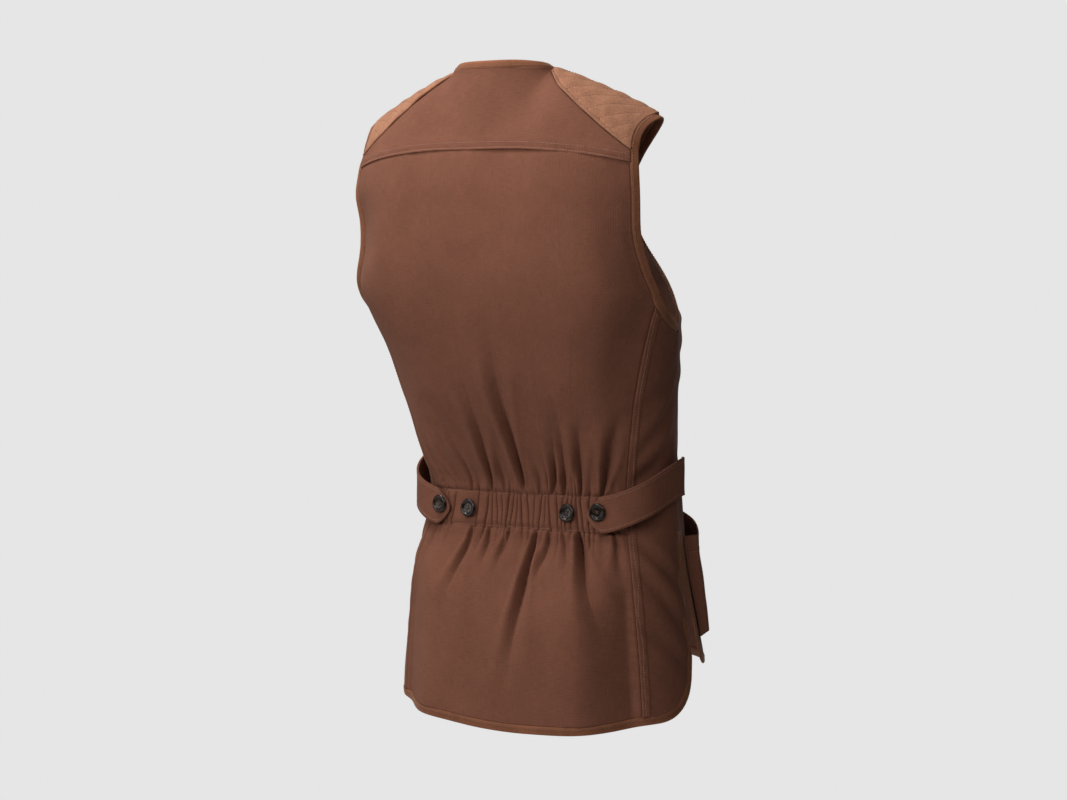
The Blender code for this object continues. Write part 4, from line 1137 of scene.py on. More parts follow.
@dataclass
class Back:
    """Back panel: one piece of canvas, gathered into the waistband and folded above and below it."""

    form: VestForm
    half_width: float = 0.14
    seam_lap: float = 0.006
    gather_reach: float = 0.034
    pleat_rise: float = 0.14
    blade_rise: float = 0.0052
    foot_rise: float = 0.0094
    edge_fall: float = 0.0074
    blade_share: float = 0.72
    blade_width: float = 0.24
    foot_share: float = 0.62
    foot_width: float = 0.20
    span: float = 0.19
    pucker_width: float = 0.011
    pucker_pitch: float = 0.017
    crease_depth: float = 0.0052
    crease_width: float = 0.0009
    crease_reach: float = 0.031
    heading: float = 0.0011
    tuck: float = 0.0034
    fold_gain: float = 1.4

    def columns(self) -> Array:
        """Places of the columns across the back, closer together where it is gathered."""
        return stops((-1.0, -0.76, 15), (-0.76, 0.50, 158), (0.50, 1.0, 31))[None, :]

    def drift(self, across: Array, height: Array) -> Array:
        """Uneven slant of the creases over the band's height."""
        middle = (self.form.band_bottom + self.form.band_top) / 2
        return 0.018 * np.sin(across * 23.0) * np.clip((height - middle) / 0.02, -1.6, 1.6)

    def body(self, across: Array, height: Array) -> Array:
        """Broad relief: the back stays flat between the shoulder blades and turns beside them."""
        share = np.abs(across)
        high = blend(height, -0.420, -0.330) * (1.0 - blend(height, -0.200, -0.110))
        low = 1.0 - blend(height, -0.590, -0.525)
        ridge = bell(share, self.blade_share, self.blade_width) * (1.0 - blend(share, self.blade_share, 1.0))
        foot = bell(share, self.foot_share, self.foot_width) - 0.45 * bell(share, 1.0, 0.12)
        uneven = 1.0 - 0.25 * np.sign(across)
        blade = self.blade_rise * high * ridge * (1.0 - blend(across, 0.0, 0.5))
        return uneven * (blade + self.foot_rise * low * foot)

    def drawn_in(self, spread: Array, height: Array) -> Array:
        """Fall of the left armhole's edge, between the side panel's head and the yoke."""
        beside = blend(height, self.form.seam_head + 0.004, self.form.seam_head + 0.050)
        return self.edge_fall * beside * (1.0 - blend(height, -0.170, -0.124)) * blend(spread, 0.60, 1.0)

    def creases(self, across: Array, height: Array, over: Array) -> Array:
        """Depth of the narrow creases, which widen and run out above and below the band."""
        depth = np.zeros(np.broadcast(across, height).shape)
        at = across + self.drift(across, height)
        for place, strength in CREASES:
            offset = np.abs(at - place) * self.half_width / (self.crease_width + 0.14 * over)
            reach = self.crease_reach * (0.15 + strength**2)
            depth = depth + strength * np.exp(-(offset**1.3)) * np.exp(-over / reach)
        return self.crease_depth * depth

    def pleats(self, across: Array, height: Array) -> Array:
        """Round rise of the cloth between two creases, in metres at full strength."""
        places = np.array([place for place, _ in CREASES[::-1]])
        at = across + self.drift(across, height)
        index = np.clip(np.searchsorted(places, at) - 1, 0, len(places) - 2)
        span = places[index + 1] - places[index]
        share = np.clip((at - places[index]) / span, 0.0, 1.0)
        metres = np.minimum(span * self.half_width, 0.0105)
        flat = 1.0 - 0.85 * blend(span, 0.10, 0.22)
        return self.pleat_rise * metres * np.sin(share * math.pi) ** 0.45 * flat

    def folds(self, across: Array, height: Array) -> Array:
        """Relief of the long folds: sharp at the band, wide and soft where they run out.

        Args:
            across: Place across the back.
            height: Height coordinate.

        Returns:
            Metres out of the back's form.
        """
        relief = np.zeros(np.broadcast(across, height).shape)
        for foot, head, end, depth, width in FOLDS:
            start = self.form.band_top if end > self.form.band_top else self.form.band_bottom
            t = (height - start) / (end - start)
            reach = np.clip(t, 0.0, 1.0)
            bend = 0.03 * np.sin(reach * math.pi + foot * 9.0)
            offset = (across - foot - (head - foot) * reach - bend) * self.half_width
            offset = offset / (width * (0.46 + 2.2 * reach))
            strength = blend(t, -0.02, 0.05) * (1.0 - blend(t, 0.25, 1.0))
            trough = 0.75 * bell(offset, 0.0, np.where(offset > 0.0, 0.70, 1.35))
            trough = trough + 0.85 * np.exp(-np.abs(offset / (0.24 + 0.16 * reach))) * (1.0 - reach)
            ridges = 0.62 * bell(offset, 1.5, 0.85) + 0.25 * bell(offset, -2.4, 1.0)
            relief = relief - self.fold_gain * depth * strength * (trough - ridges)
        return relief

    def cloth(self) -> Cloth:
        """Panel from the hem binding to just under the yoke, between the side-back seams."""
        form = self.form
        spread = self.columns()
        levels = stops(
            (form.hem, -0.600, 40), (-0.600, -0.530, 42), (-0.530, form.band_bottom - 0.004, 18),
            (form.band_bottom - 0.004, form.band_top + 0.004, 14), (form.band_top + 0.004, -0.440, 18),
            (-0.440, -0.370, 40), (-0.370, form.back_head, 60),
        )[:, None]
        low = form.back_hem(spread) + form.binding_width
        high = form.yoke_line(spread) + self.seam_lap
        falling = np.clip((form.hem_blend - levels) / (form.hem_blend - form.hem), 0.0, 1.0)
        rising = np.clip((levels - form.across_back) / (form.back_head - form.across_back), 0.0, 1.0)
        height = levels + falling * (low - form.hem) + rising * (high - form.back_head)
        across = spread * form.back_edge(height)
        points, outward = form.skin(form.back, across, height)
        over = np.maximum(height - form.band_top, 0.0) + np.maximum(form.band_bottom - height, 0.0)
        reach = self.gather_reach * (1.0 + 0.45 * np.sin(across * 31.0))
        fade = np.clip(1.0 - over / reach, 0.0, 1.0)
        inside = 1.0 - blend(np.abs(spread), 0.93, 0.99)
        beyond = np.maximum(height - form.band_top, form.band_bottom - height)
        relief = (self.folds(across, height) + self.pleats(across, height) * fade**1.4) * inside
        relief = relief - self.creases(across, height, over) * inside
        relief = relief + self.heading * bell(beyond, 0.004, 0.006) * inside
        relief = relief * (1.0 - 0.85 * blend(-beyond, 0.001, 0.004))
        relief = relief - self.tuck * blend(-beyond, -0.0004, 0.0034)
        metres = across * self.span
        relief = relief + self.body(across, height) * inside - self.drawn_in(spread, height)
        relief = relief + 0.0007 * ripple(metres, height, 0.11, 3) * inside
        relief = relief + 0.0011 * ripple(metres, height, 0.19, 8) * inside * blend(-height, 0.10, 0.22)
        relief = relief + self.puckers(spread, height)
        relief = relief - 0.0014 * blend(rising, 0.80, 1.0)
        return Cloth("back_cloth", points, outward).lifted(relief)

    def puckers(self, spread: Array, height: Array) -> Array:
        """Small pulls of the side-back seams' sewing, on both edges."""
        near = (1.0 - np.abs(spread)) * 0.16
        pull = np.sin(height * math.tau / self.pucker_pitch + 3.0 * np.sin(height * 41.0) - near * 260.0)
        sewn = 1.0 - blend(height, self.form.seam_head - 0.05, self.form.seam_head - 0.01)
        sewn = sewn * (0.3 + 0.7 * blend(-height, 0.52, 0.57)) * (0.65 - 0.35 * np.sign(spread))
        return 0.00050 * pull * bell(near, 0.0, self.pucker_width) * sewn


@dataclass
class Waistband:
    """Elastic channel across the back, in uneven upright pleats between two sewn edges."""

    back: Back
    columns: int = 540
    rows: int = 26
    lift: float = 0.0023
    sewn_at: float = 0.0017

    def cloth(self) -> Cloth:
        """Band of pleats, pinched along its two sewing lines."""
        form = self.back.form
        spread = np.linspace(-1.0, 1.0, self.columns + 1)[None, :]
        share = np.linspace(0.0, 1.0, self.rows + 1)[:, None]
        height = form.band_bottom + (form.band_top - form.band_bottom) * share + 0.0 * spread
        points, outward = form.skin(form.back, spread, height)
        rim = np.minimum(share, 1.0 - share) * (form.band_top - form.band_bottom)
        pinch = 0.55 + 0.45 * blend(rim, self.sewn_at, 0.0075)
        relief = self.back.pleats(spread, height) * 1.2 - self.back.creases(spread, height, 0.0 * height)
        relief = relief * pinch * (1.0 - blend(np.abs(spread), 0.95, 1.0))
        relief = relief - 0.0006 * bell(rim, self.sewn_at, 0.0011)
        arched = self.lift * (0.30 + 0.70 * blend(rim, 0.0, 0.0075))
        return Cloth("waistband_cloth", points, outward).lifted(arched + relief)


@dataclass
class Yoke:
    """Upper back between the shoulder patches, lapped over the back and sewn with two needles."""

    form: VestForm
    rows: int = 52
    lap: float = 0.0010
    patch_under: float = 0.0035
    span: float = 0.18
    rounds: int = 60

    def shares(self) -> Array:
        """Shares of the columns on one half, from the centre to the armhole."""
        neck = np.linspace(0.0, self.form.patch_end - 0.004, 26)
        return np.concatenate([neck[1:], np.linspace(self.form.patch_end, 1.0, 62)])

    def cloth(self) -> Cloth:
        """Panel from its turned lower edge to the neckline and the patches' seams."""
        form = self.form
        half = self.shares()
        spread = np.concatenate([-half[::-1], [0.0], half])[None, :]
        share = np.abs(spread)
        low = form.yoke_line(spread)
        high = np.where(share < form.patch_end - 0.003, 0.0, form.patch_line(share) + self.patch_under)
        high = np.minimum(high, 0.0)
        t = stops((0.0, 0.12, 12), (0.12, 1.0, self.rows - 12))[:, None]
        height = low + (high - low) * t
        points, outward = form.skin(form.back, np.sign(spread) * form.narrowed(share, height), height)
        over = (height - low) * 1.25
        turned = self.lap * (1.0 - 0.35 * blend(over, 0.010, 0.020))
        metres = spread * self.span
        groove = -0.00035 * bell(over, 0.0035, 0.0012)
        wave = 0.00035 * ripple(metres, height, 0.012, 5) * bell(over, 0.0, 0.012)
        under = -0.0023 * blend(height - high, -0.0070, -0.0036) * (share > form.patch_end - 0.003)
        relief = turned + groove + wave + under + 0.0006 * ripple(metres, height, 0.09, 12)
        return Cloth("yoke_cloth", points, outward).relaxed(self.rounds).lifted(relief)


# Middle, slope, depth and width of the side panels' folds, three below the waist and three above it
DRAPES = (
    (-0.540, -0.055, 0.0034, 0.0100),
    (-0.580, -0.075, 0.0040, 0.0130),
    (-0.630, -0.060, 0.0026, 0.0130),
    (-0.425, 0.060, 0.0028, 0.0100),
    (-0.390, 0.075, 0.0036, 0.0110),
    (-0.345, 0.050, 0.0022, 0.0110),
)


@dataclass
class SidePanel:
    """Narrow panel between the side-back seam and the side seam, with a felled seam at the back."""

    form: VestForm
    hand: Hand
    columns: int = 44
    strip: float = 0.0088
    strip_rise: float = 0.0009
    overlap: float = 0.0012

    def cloth(self) -> Cloth:
        """Panel from the armhole binding to the rounded hem corner."""
        form = self.form
        t = stops((0.0, 0.20, 16), (0.20, 0.75, 14), (0.75, 1.0, self.columns - 30))[None, :]
        levels = stops((form.hem, -0.62, 46), (-0.62, -0.44, 70), (-0.44, form.side_head, 54))[:, None]
        low = form.side_hem(t, self.hand) + form.binding_width
        falling = np.clip((form.hem_blend - levels) / (form.hem_blend - form.hem), 0.0, 1.0)
        high = form.armhole_base(t) - form.arm_drop
        span = form.side_head - form.side_shoulder
        rising = np.clip((levels - form.side_shoulder) / span, 0.0, 1.0)
        height = levels + falling * (low - form.hem) + rising * (high - form.side_head)
        size = length_of(form.side, height)
        vent = blend(-height, -form.vent_top, -form.vent_start) * form.binding_width / size
        start = -self.overlap / size
        share = start + t * (1.0 - vent - start)
        points, outward = form.skin(form.side, share, height)
        near = (share - start) * size
        strip = self.strip_rise * (1.0 - blend(near, self.strip - 0.0006, self.strip + 0.0010))
        pull = np.sin(height * math.tau / 0.0175 + 2.6 * np.sin(height * 47.0) + near * 300.0)
        sewn = (0.3 + 0.7 * blend(-height, 0.52, 0.57)) * (0.65 - 0.35 * self.hand.value)
        puckers = 0.00055 * pull * sewn * bell(near, self.strip, 0.009)
        relief = 0.0004 + strip + puckers + self.drapes(share, height)
        return Cloth("side_cloth_" + self.hand.word, points, outward).lifted(relief).worn_on(self.hand)

    def drapes(self, share: Array, height: Array) -> Array:
        """Soft slanted folds that the tab's pull leaves above and below the waist."""
        calm = (0.75 - 0.25 * self.hand.value) * (1.0 - 0.85 * blend(share, 0.70, 1.0))
        relief = 0.0008 * calm * ripple(share * 0.07, height, 0.075, 21 + int(self.hand.value))
        for middle, slope, depth, width in DRAPES:
            offset = (height - middle - slope * (share - 0.5)) / width
            reach = (0.75 - 0.25 * self.hand.value) * np.sin(np.clip(share, 0.0, 1.0) * math.pi)
            relief = relief - depth * reach * (bell(offset, 0.0, 1.0) - 0.5 * bell(offset, 1.6, 1.0))
        return relief


@dataclass
class Front:
    """Front from the shoulder patch to the hem; the left one laps over the right."""

    form: VestForm
    hand: Hand
    columns: int = 84
    hem_level: float = -0.644

    def cloth(self) -> Cloth:
        """Panel from the side seam or armhole to the centre edge or the V."""
        form = self.form
        spread = np.linspace(0.0, 1.0, self.columns + 1)[None, :]
        levels = stops((self.hem_level, -0.44, 70), (-0.44, form.front_head, 90))[:, None]
        height = levels + form.arm_dip(levels) * (1.0 - spread) ** 2
        length = length_of(form.front, height)
        vent = blend(-height, -form.vent_top, -form.vent_start)
        near = form.front_edge(height) + vent * form.binding_width / length
        lap = np.clip((form.v_turn - height) / (form.v_turn - form.v_bottom), 0.0, 1.0)
        far = 1.0 + lap * form.overlap / length
        share = near + (far - near) * spread
        points, outward = form.skin(form.front, share, height)
        centre = 1.0 - blend(points[..., 0], 0.022, 0.075)
        low = 1.0 - blend(points[..., 2], -0.262, -0.200)
        lift = self.hand.value * form.overlap_lift * centre * low
        inside = blend(spread, 0.0, 0.06) * (1.0 - blend(spread, 0.86, 1.0))
        soft = 0.0011 * ripple(share * 0.2, height, 0.12, 31 + int(self.hand.value)) * inside
        waist = bell(height, -0.46, 0.06) * 0.0018 * np.sin(share * 17.0 + height * 55.0) * inside
        drag = bell(height + 0.30 + 0.10 * share, 0.0, 0.045)
        drag = drag * 0.0016 * np.sin(height * 150.0 + share * 7.0)
        relief = lift + soft + (waist + drag * inside * blend(share, 0.0, 0.3))
        return Cloth("front_cloth_" + self.hand.word, points, outward).lifted(relief).worn_on(self.hand)


@dataclass
class Patch:
    """Quilted suede shoulder patch, from its back seam over the shoulder to its front seam."""

    form: VestForm
    hand: Hand
    columns: int = 76
    back_rows: int = 34
    front_rows: int = 54
    channel: float = 0.0125
    puff: float = 0.0009
    thickness: float = 0.0024

    def cloth(self) -> Cloth:
        """Suede with stitched channels that run aslant over the shoulder."""
        form = self.form
        share = np.linspace(1.0, form.patch_end, self.columns + 1)[None, :]
        along = np.linspace(0.0, 1.0, self.columns + 1)[None, :]
        climb = np.linspace(0.0, 1.0, self.back_rows + 1)[:, None]
        back_height = form.patch_line(share) * (1.0 - climb)
        back = form.skin(form.back, form.narrowed(share, back_height), back_height)
        fall = np.linspace(0.0, 1.0, self.front_rows + 1)[:, None]
        front_height = form.front_head * fall + 0.0 * along
        near = form.front_edge(front_height)
        front = form.skin(form.front, near + (1.0 - near) * along, front_height)
        ridge = unit(back[1][-1:] + front[1][:1])
        points = np.concatenate([back[0][:-1], front[0]])
        outward = np.concatenate([back[1][:-1], ridge, front[1][1:]])
        cloth = Cloth("patch_suede_" + self.hand.word, points, outward, QUILT, self.thickness)
        far_u, far_v = cloth.travelled(1), cloth.travelled(0)
        swell = np.abs(np.sin(self.wave(cloth) * math.pi)) ** 0.40
        rim = np.minimum(far_u, far_u[:, -1:] - far_u)
        rim = np.minimum(rim, np.minimum(far_v, far_v[-1:] - far_v))
        relief = 0.0004 + self.puff * (swell - 0.25) * blend(rim, 0.0015, 0.0075)
        seam = np.minimum(far_v, far_v[-1:] - far_v)
        relief = relief + 0.0012 * bell(seam, 0.0, 0.0024)
        relief = relief - 0.0006 * bell(seam, 0.0040, 0.0011)
        relief = relief + 0.00035 * ripple(far_u, far_v, 0.02, 41)
        return cloth.lifted(relief).worn_on(self.hand)

    def wave(self, cloth: Cloth) -> Array:
        """Count of channels from the cloth's first corner, across the quilting."""
        return (cloth.travelled(1) + cloth.travelled(0)) / self.channel / math.sqrt(2.0)

    def channels(self, cloth: Cloth) -> list[Line]:
        """Lines along the bottoms of the quilting's channels.

        Args:
            cloth: The patch's cloth.

        Returns:
            Points and outward directions of each line.
        """
        rows, columns = cloth.points.shape[:2]
        wave = self.wave(cloth)
        lines = []
        for number in range(1, int(wave.max()) + 1):
            line, out = [], []
            for row in range(2, rows - 2, 2):
                if wave[row, 1] < number < wave[row, -2]:
                    place = np.interp(number, wave[row], np.arange(columns))
                    col = int(place)
                    beside = min(col + 1, columns - 1)
                    part = place - col
                    spot = cloth.points[row, col] * (1.0 - part) + cloth.points[row, beside] * part
                    line.append(spot + cloth.outward[row, col] * (self.thickness / 2 + 0.0001))
                    out.append(cloth.outward[row, col])
            if len(line) > 3:
                lines.append((np.array(line), np.array(out)))
        return lines


@dataclass
class WaistTab:
    """Adjusting tab from the side seam to its rounded end over the waistband."""

    form: VestForm
    hand: Hand
    height: float = 0.041
    thickness: float = 0.0026
    root_z: float = -0.4445
    left_rise: float = 0.006
    tip_z: float = -0.4855
    point: float = 0.019
    bluntness: float = 0.62
    seam: tuple[float, float] = (0.1582, -0.1130)
    root: tuple[float, float] = (0.1640, -0.1055)
    end: tuple[float, float] = (0.0925, -0.0213)
    leave: tuple[float, float] = (0.004, 0.075)
    arrive: tuple[float, float] = (0.052, -0.006)
    rows: int = 16

    def curve(self, count: int) -> Array:
        """Plan points of the tab, from the seam to its end."""
        start, end = np.array(self.root), np.array(self.end)
        first = start + np.array(self.leave)
        second = end + np.array(self.arrive)
        t = np.linspace(0.0, 1.0, count)[:, None]
        s = 1.0 - t
        curve = s**3 * start + 3 * s * s * t * first + 3 * s * t * t * second + t**3 * end
        return np.concatenate([[self.seam], curve])

    def cloth(self) -> Cloth:
        """Double cloth with a rounded point and a low ridge along its turned edges."""
        plan = self.curve(150)
        far = distances(plan)
        straight = np.linspace(0.0, far[-1] - self.point, 90)
        at = np.concatenate([straight, far[-1] - self.point * stops((1.0, 0.02, 26))[1:]])
        plan = read_at(at, far, plan)
        left = far[-1] - at
        share = np.clip(left / self.point, 0.0, 1.0)
        half = self.height / 2 * share**self.bluntness
        climb = np.linspace(-1.0, 1.0, self.rows + 1)[:, None]
        root = self.root_z + (self.left_rise if self.hand is Hand.LEFT else 0.0)
        middle = root + (self.tip_z - root) * blend(at / far[-1], 0.0, 0.95)
        points = with_height(np.broadcast_to(plan, (self.rows + 1,) + plan.shape), middle + half * climb)
        run = unit(np.gradient(plan, axis=0))
        square = np.stack([run[:, 1], -run[:, 0], np.zeros(len(run))], axis=-1)
        outward = np.broadcast_to(square, points.shape)
        edge = (1.0 - np.abs(climb)) * half
        relief = 0.0004 * bell(edge, 0.0012, 0.0014) - 0.0003 * bell(edge, 0.0038, 0.0012)
        uneven = ripple(at[None, :] + 0.0 * climb, half * climb, 0.045, 51 + int(self.hand.value))
        relief = relief + 0.0006 * uneven
        cloth = Cloth("tab_cloth_" + self.hand.word, points, outward, CANVAS, self.thickness)
        return cloth.lifted(relief * blend(left, 0.0, 0.02)).worn_on(self.hand)


@dataclass
class Pocket:
    """Bellows pocket on a front: a face that stands off, closed at its sides and foot."""

    form: VestForm
    hand: Hand
    near: float = 0.07
    far: float = 0.60
    top_near: float = -0.512
    top_far: float = -0.489
    bottom: float = -0.622
    depth: float = 0.015
    slope: float = 0.004
    section: float = 0.215
    base: float = 0.0020
    thickness: float = 0.0017
    columns: int = 46
    rows: int = 44
    steps: int = 7
    first_stand: float = 0.55

    def cloth(self) -> Cloth:
        """Face, sides and foot in one skin that leaves the front's cloth and comes back to it."""
        wall = np.zeros(self.steps)
        climbing = np.linspace(0.0, 1.0, self.steps + 1)[:-1]
        shares = np.concatenate([wall, np.linspace(0.0, 1.0, self.columns), wall + 1.0])[None, :]
        falling = np.linspace(1.0, 0.0, self.steps + 1)[1:]
        rise = np.concatenate([climbing, np.ones(self.columns), falling])[None, :]
        returning = np.linspace(-1.0, 0.0, self.steps + 1)[1:]
        inset = np.concatenate([climbing, np.linspace(1.0, -1.0, self.columns), returning])[None, :]
        climb = np.concatenate([wall, np.linspace(0.0, 1.0, self.rows)])[:, None]
        foot = np.concatenate([climbing, np.linspace(1.0, 0.0, self.rows)])[:, None]
        under = np.linspace(0.0, self.first_stand, self.steps + 1)[:-1]
        face = np.linspace(self.first_stand, 1.0, self.rows) ** 0.9
        stand = np.concatenate([under, face])[:, None]
        share = self.near + (self.far - self.near) * shares + self.slope / self.section * inset
        top = self.top_near + (self.top_far - self.top_near) * shares
        height = self.bottom + (top - self.bottom) * climb + self.slope * foot
        points, outward = self.form.skin(self.form.front, share, height)
        sag = 0.0010 * ripple(share * 0.2, height, 0.06, 61 + int(self.hand.value))
        sag = sag * rise * np.clip(climb * 4.0, 0.0, 1.0)
        relief = self.base + self.depth * rise * stand + sag
        cloth = Cloth("pocket_cloth_" + self.hand.word, points, outward, CANVAS, self.thickness)
        return cloth.lifted(relief).worn_on(self.hand)


@dataclass
class Button:
    """Turned horn button with a sunk middle, four holes and a cross of thread."""

    radius: float = 0.010
    thick: float = 0.0036
    hole: float = 0.00095
    hole_ring: float = 0.0024
    segments: int = 40
    strand: Place = (1.12, 0.00042, 0.00055)
    vest_axis_y: float = -0.09

    def mesh(self) -> bpy.types.Mesh:
        """Button with its flat back at the origin, facing +Z."""
        r, h = self.radius, self.thick
        profile = (
            (0.0, 0.55 * h), (0.50 * r, 0.55 * h), (0.62 * r, 0.62 * h), (0.70 * r, 0.90 * h), (0.80 * r, h),
            (0.92 * r, 0.90 * h), (r, 0.58 * h), (0.95 * r, 0.25 * h), (0.80 * r, 0.0), (0.0, 0.0),
        )
        bm = bmesh.new()
        verts = [bm.verts.new((x, 0.0, z)) for x, z in profile]
        edges = [bm.edges.new(pair) for pair in zip(verts, verts[1:])]
        bmesh.ops.spin(
            bm, geom=verts + edges, axis=(0, 0, 1), cent=(0, 0, 0), angle=math.tau,
            steps=self.segments, use_merge=True,
        )
        bmesh.ops.remove_doubles(bm, verts=bm.verts, dist=1e-6)
        bmesh.ops.recalc_face_normals(bm, faces=bm.faces)
        return self.drilled(finished(bm, "button", smooth=False))

    def drilled(self, mesh: bpy.types.Mesh) -> bpy.types.Mesh:
        """Cut four holes through a button.

        Args:
            mesh: Button without holes.

        Returns:
            A new mesh with the holes.
        """
        drill = bmesh.new()
        for quarter in range(4):
            turn = math.pi / 4 + quarter * math.pi / 2
            spot = (self.hole_ring * math.cos(turn), self.hole_ring * math.sin(turn), self.thick / 2)
            bmesh.ops.create_cone(
                drill, cap_ends=True, segments=14, radius1=self.hole, radius2=self.hole,
                depth=2.0 * self.thick, matrix=Matrix.Translation(spot),
            )
        tool_mesh = finished(drill, "drill", smooth=False)
        body = placed("button_body", mesh)
        tool = placed("button_drill", tool_mesh)
        cut = body.modifiers.new("holes", "BOOLEAN")
        cut.operation = "DIFFERENCE"
        cut.solver = "EXACT"
        cut.object = tool
        bpy.context.view_layer.update()
        done = bpy.data.meshes.new_from_object(body.evaluated_get(bpy.context.evaluated_depsgraph_get()))
        for item in (body, tool):
            bpy.data.objects.remove(item, do_unlink=True)
        done.shade_smooth()
        done.set_sharp_from_angle(angle=math.radians(50))
        return done

    def thread(self) -> bpy.types.Mesh:
        """Two crossed bars of thread through the holes."""
        bm = bmesh.new()
        for turn in (math.pi / 4, 3 * math.pi / 4):
            for beside in (-0.00035, 0.00035):
                bar = Matrix.Rotation(turn, 4, "Z") @ Matrix.Translation((0.0, beside, 0.60 * self.thick))
                reach, wide, high = self.strand
                size = Matrix.Diagonal((self.hole_ring * reach, wide, high, 1.0))
                lay = Matrix.Rotation(math.pi / 2, 4, "Y")
                bmesh.ops.create_uvsphere(
                    bm, u_segments=8, v_segments=8, radius=1.0, matrix=bar @ size @ lay
                )
        return finished(bm, "button_thread")

    def sew_on(self, name: str, node: str, turn: float) -> None:
        """Set a button where its solid lies, turned about its own axis.

        Args:
            name: Name of the new piece.
            node: Solid button that the piece stands for.
            turn: Angle of the thread's cross.
        """
        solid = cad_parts[node]
        points = np.array([solid.matrix_world @ v.co for v in solid.data.vertices])
        middle = points.mean(axis=0)
        spread = np.linalg.svd(points - middle, full_matrices=False)[2]
        normal = spread[-1]
        away = middle - np.array([0.0, self.vest_axis_y, middle[2]])
        normal = normal * np.sign(np.dot(normal, away))
        back = middle + normal * float(np.min((points - middle) @ normal))
        facing = Vector(normal).to_track_quat("Z", "Y").to_matrix().to_4x4()
        place = Matrix.Translation(Vector(back)) @ facing @ Matrix.Rotation(turn, 4, "Z")
        for word, mesh, finish in (("", self.mesh(), HORN), ("_thread", self.thread(), BUTTON_SEWING)):
            mesh.transform(place)
            made = put(name + word, mesh, finish)
            if not word:
                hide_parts(node)


WARM = (1.0, 0.99, 0.97)
# Name, place, size, power and tint of each lamp
LAMPS = (
    ("key_light", (0.20, 1.45, 0.30), 0.9, 10.5, WARM),
    ("left_light", (1.9, 2.0, -0.1), 1.4, 14.0, WARM),
    ("right_light", (-1.4, 1.5, 0.95), 1.2, 9.0, WARM),
    ("top_light", (0.6, 0.45, 1.30), 0.9, 31.5, WARM),
    ("front_light", (0.9, -3.2, 0.8), 1.8, 34.0, (1.0, 0.99, 0.98)),
)


@dataclass
class Studio:
    """Plain pale floor, soft light and the camera of the photograph."""

    eye: Place = (-2.0075, 2.817, -0.202)
    axis_point: Place = (0.0, -0.0498, -0.202)
    lens: float = 106.3
    pitch: float = 2.64
    pixel_shift: float = -0.024
    floor_z: float = -1.45
    backdrop: float = 0.79
    ambient: float = 0.035
    floor_radius: float = 3.2
    floor_fade: tuple[float, float] = (0.6, 2.9)
    aim: Place = (0.0, -0.05, -0.35)

    def camera(self) -> None:
        """Camera behind the vest and to the wearer's right, at the height of the armholes."""
        data = bpy.data.cameras.new("camera")
        data.lens = self.lens
        data.sensor_width = 36.0
        data.clip_end = 60.0
        made = placed("camera", data)
        toward = Vector(self.axis_point) - Vector(self.eye)
        yaw = math.atan2(-toward.x, toward.y) + math.radians(self.pixel_shift)
        made.rotation_euler = (math.radians(90.0 - self.pitch), 0.0, yaw)
        made.location = self.eye
        bpy.context.scene.camera = made

    def floor(self) -> None:
        """Pale disc that fades into the background at its rim."""
        bm = bmesh.new()
        bmesh.ops.create_circle(bm, cap_ends=True, segments=96, radius=self.floor_radius)
        mesh = finished(bm, "studio_floor", smooth=False)
        mesh.transform(Matrix.Translation((0.0, 0.0, self.floor_z)))
        made = bpy.data.materials.new("pale_floor")
        made.use_nodes = True
        graph = Graph(made.node_tree)
        shader = made.node_tree.nodes[SHADER]
        shader.inputs["Base Color"].default_value = (0.80, 0.80, 0.80, 1.0)
        shader.inputs["Roughness"].default_value = 0.9
        coords = graph.node("ShaderNodeTexCoord")
        factors = {0: coords.outputs["Object"], 1: (1.0, 1.0, 0.0)}
        flat = graph.node("ShaderNodeVectorMath", factors, operation="MULTIPLY")
        size = graph.node("ShaderNodeVectorMath", {0: flat.outputs[0]}, operation="LENGTH")
        alpha = graph.ramp(size.outputs["Value"], *self.floor_fade, 1.0, 0.0)
        graph.tree.links.new(alpha, shader.inputs["Alpha"])
        mesh.materials.append(made)
        placed("studio_floor", mesh)

    def lamp(self, name: str, place: Sequence[float], size: float, power: float, tint: Colour) -> None:
        """Square soft light aimed at the middle of the vest.

        Args:
            name: Name of the light.
            place: Where it stands.
            size: Length of its side.
            power: Its power in watts.
            tint: Its colour.
        """
        data = bpy.data.lights.new(name, "AREA")
        data.shape = "SQUARE"
        data.size = size
        data.energy = power
        data.color = tint
        made = placed(name, data)
        made.location = place
        toward = Vector(self.aim) - Vector(place)
        made.rotation_euler = toward.to_track_quat("-Z", "Y").to_euler()

    def world(self) -> None:
        """Even pale background with a weaker light of its own."""
        made = bpy.data.worlds.new("studio")
        made.use_nodes = True
        graph = Graph(made.node_tree)
        shader = made.node_tree.nodes["Background"]
        path = graph.node("ShaderNodeLightPath")
        level = graph.ramp(path.outputs["Is Camera Ray"], 0.0, 1.0, self.ambient, self.backdrop)
        graph.tree.links.new(level, shader.inputs["Strength"])
        shader.inputs["Color"].default_value = (1.0, 1.0, 1.0, 1.0)
        bpy.context.scene.world = made

    def build(self) -> None:
        """Camera, floor, lights and background."""
        scene = bpy.context.scene
        scene.view_settings.view_transform = "Standard"
        scene.view_settings.look = "None"
        self.camera()
        self.floor()
        self.world()
        for lamp in LAMPS:
            self.lamp(*lamp)


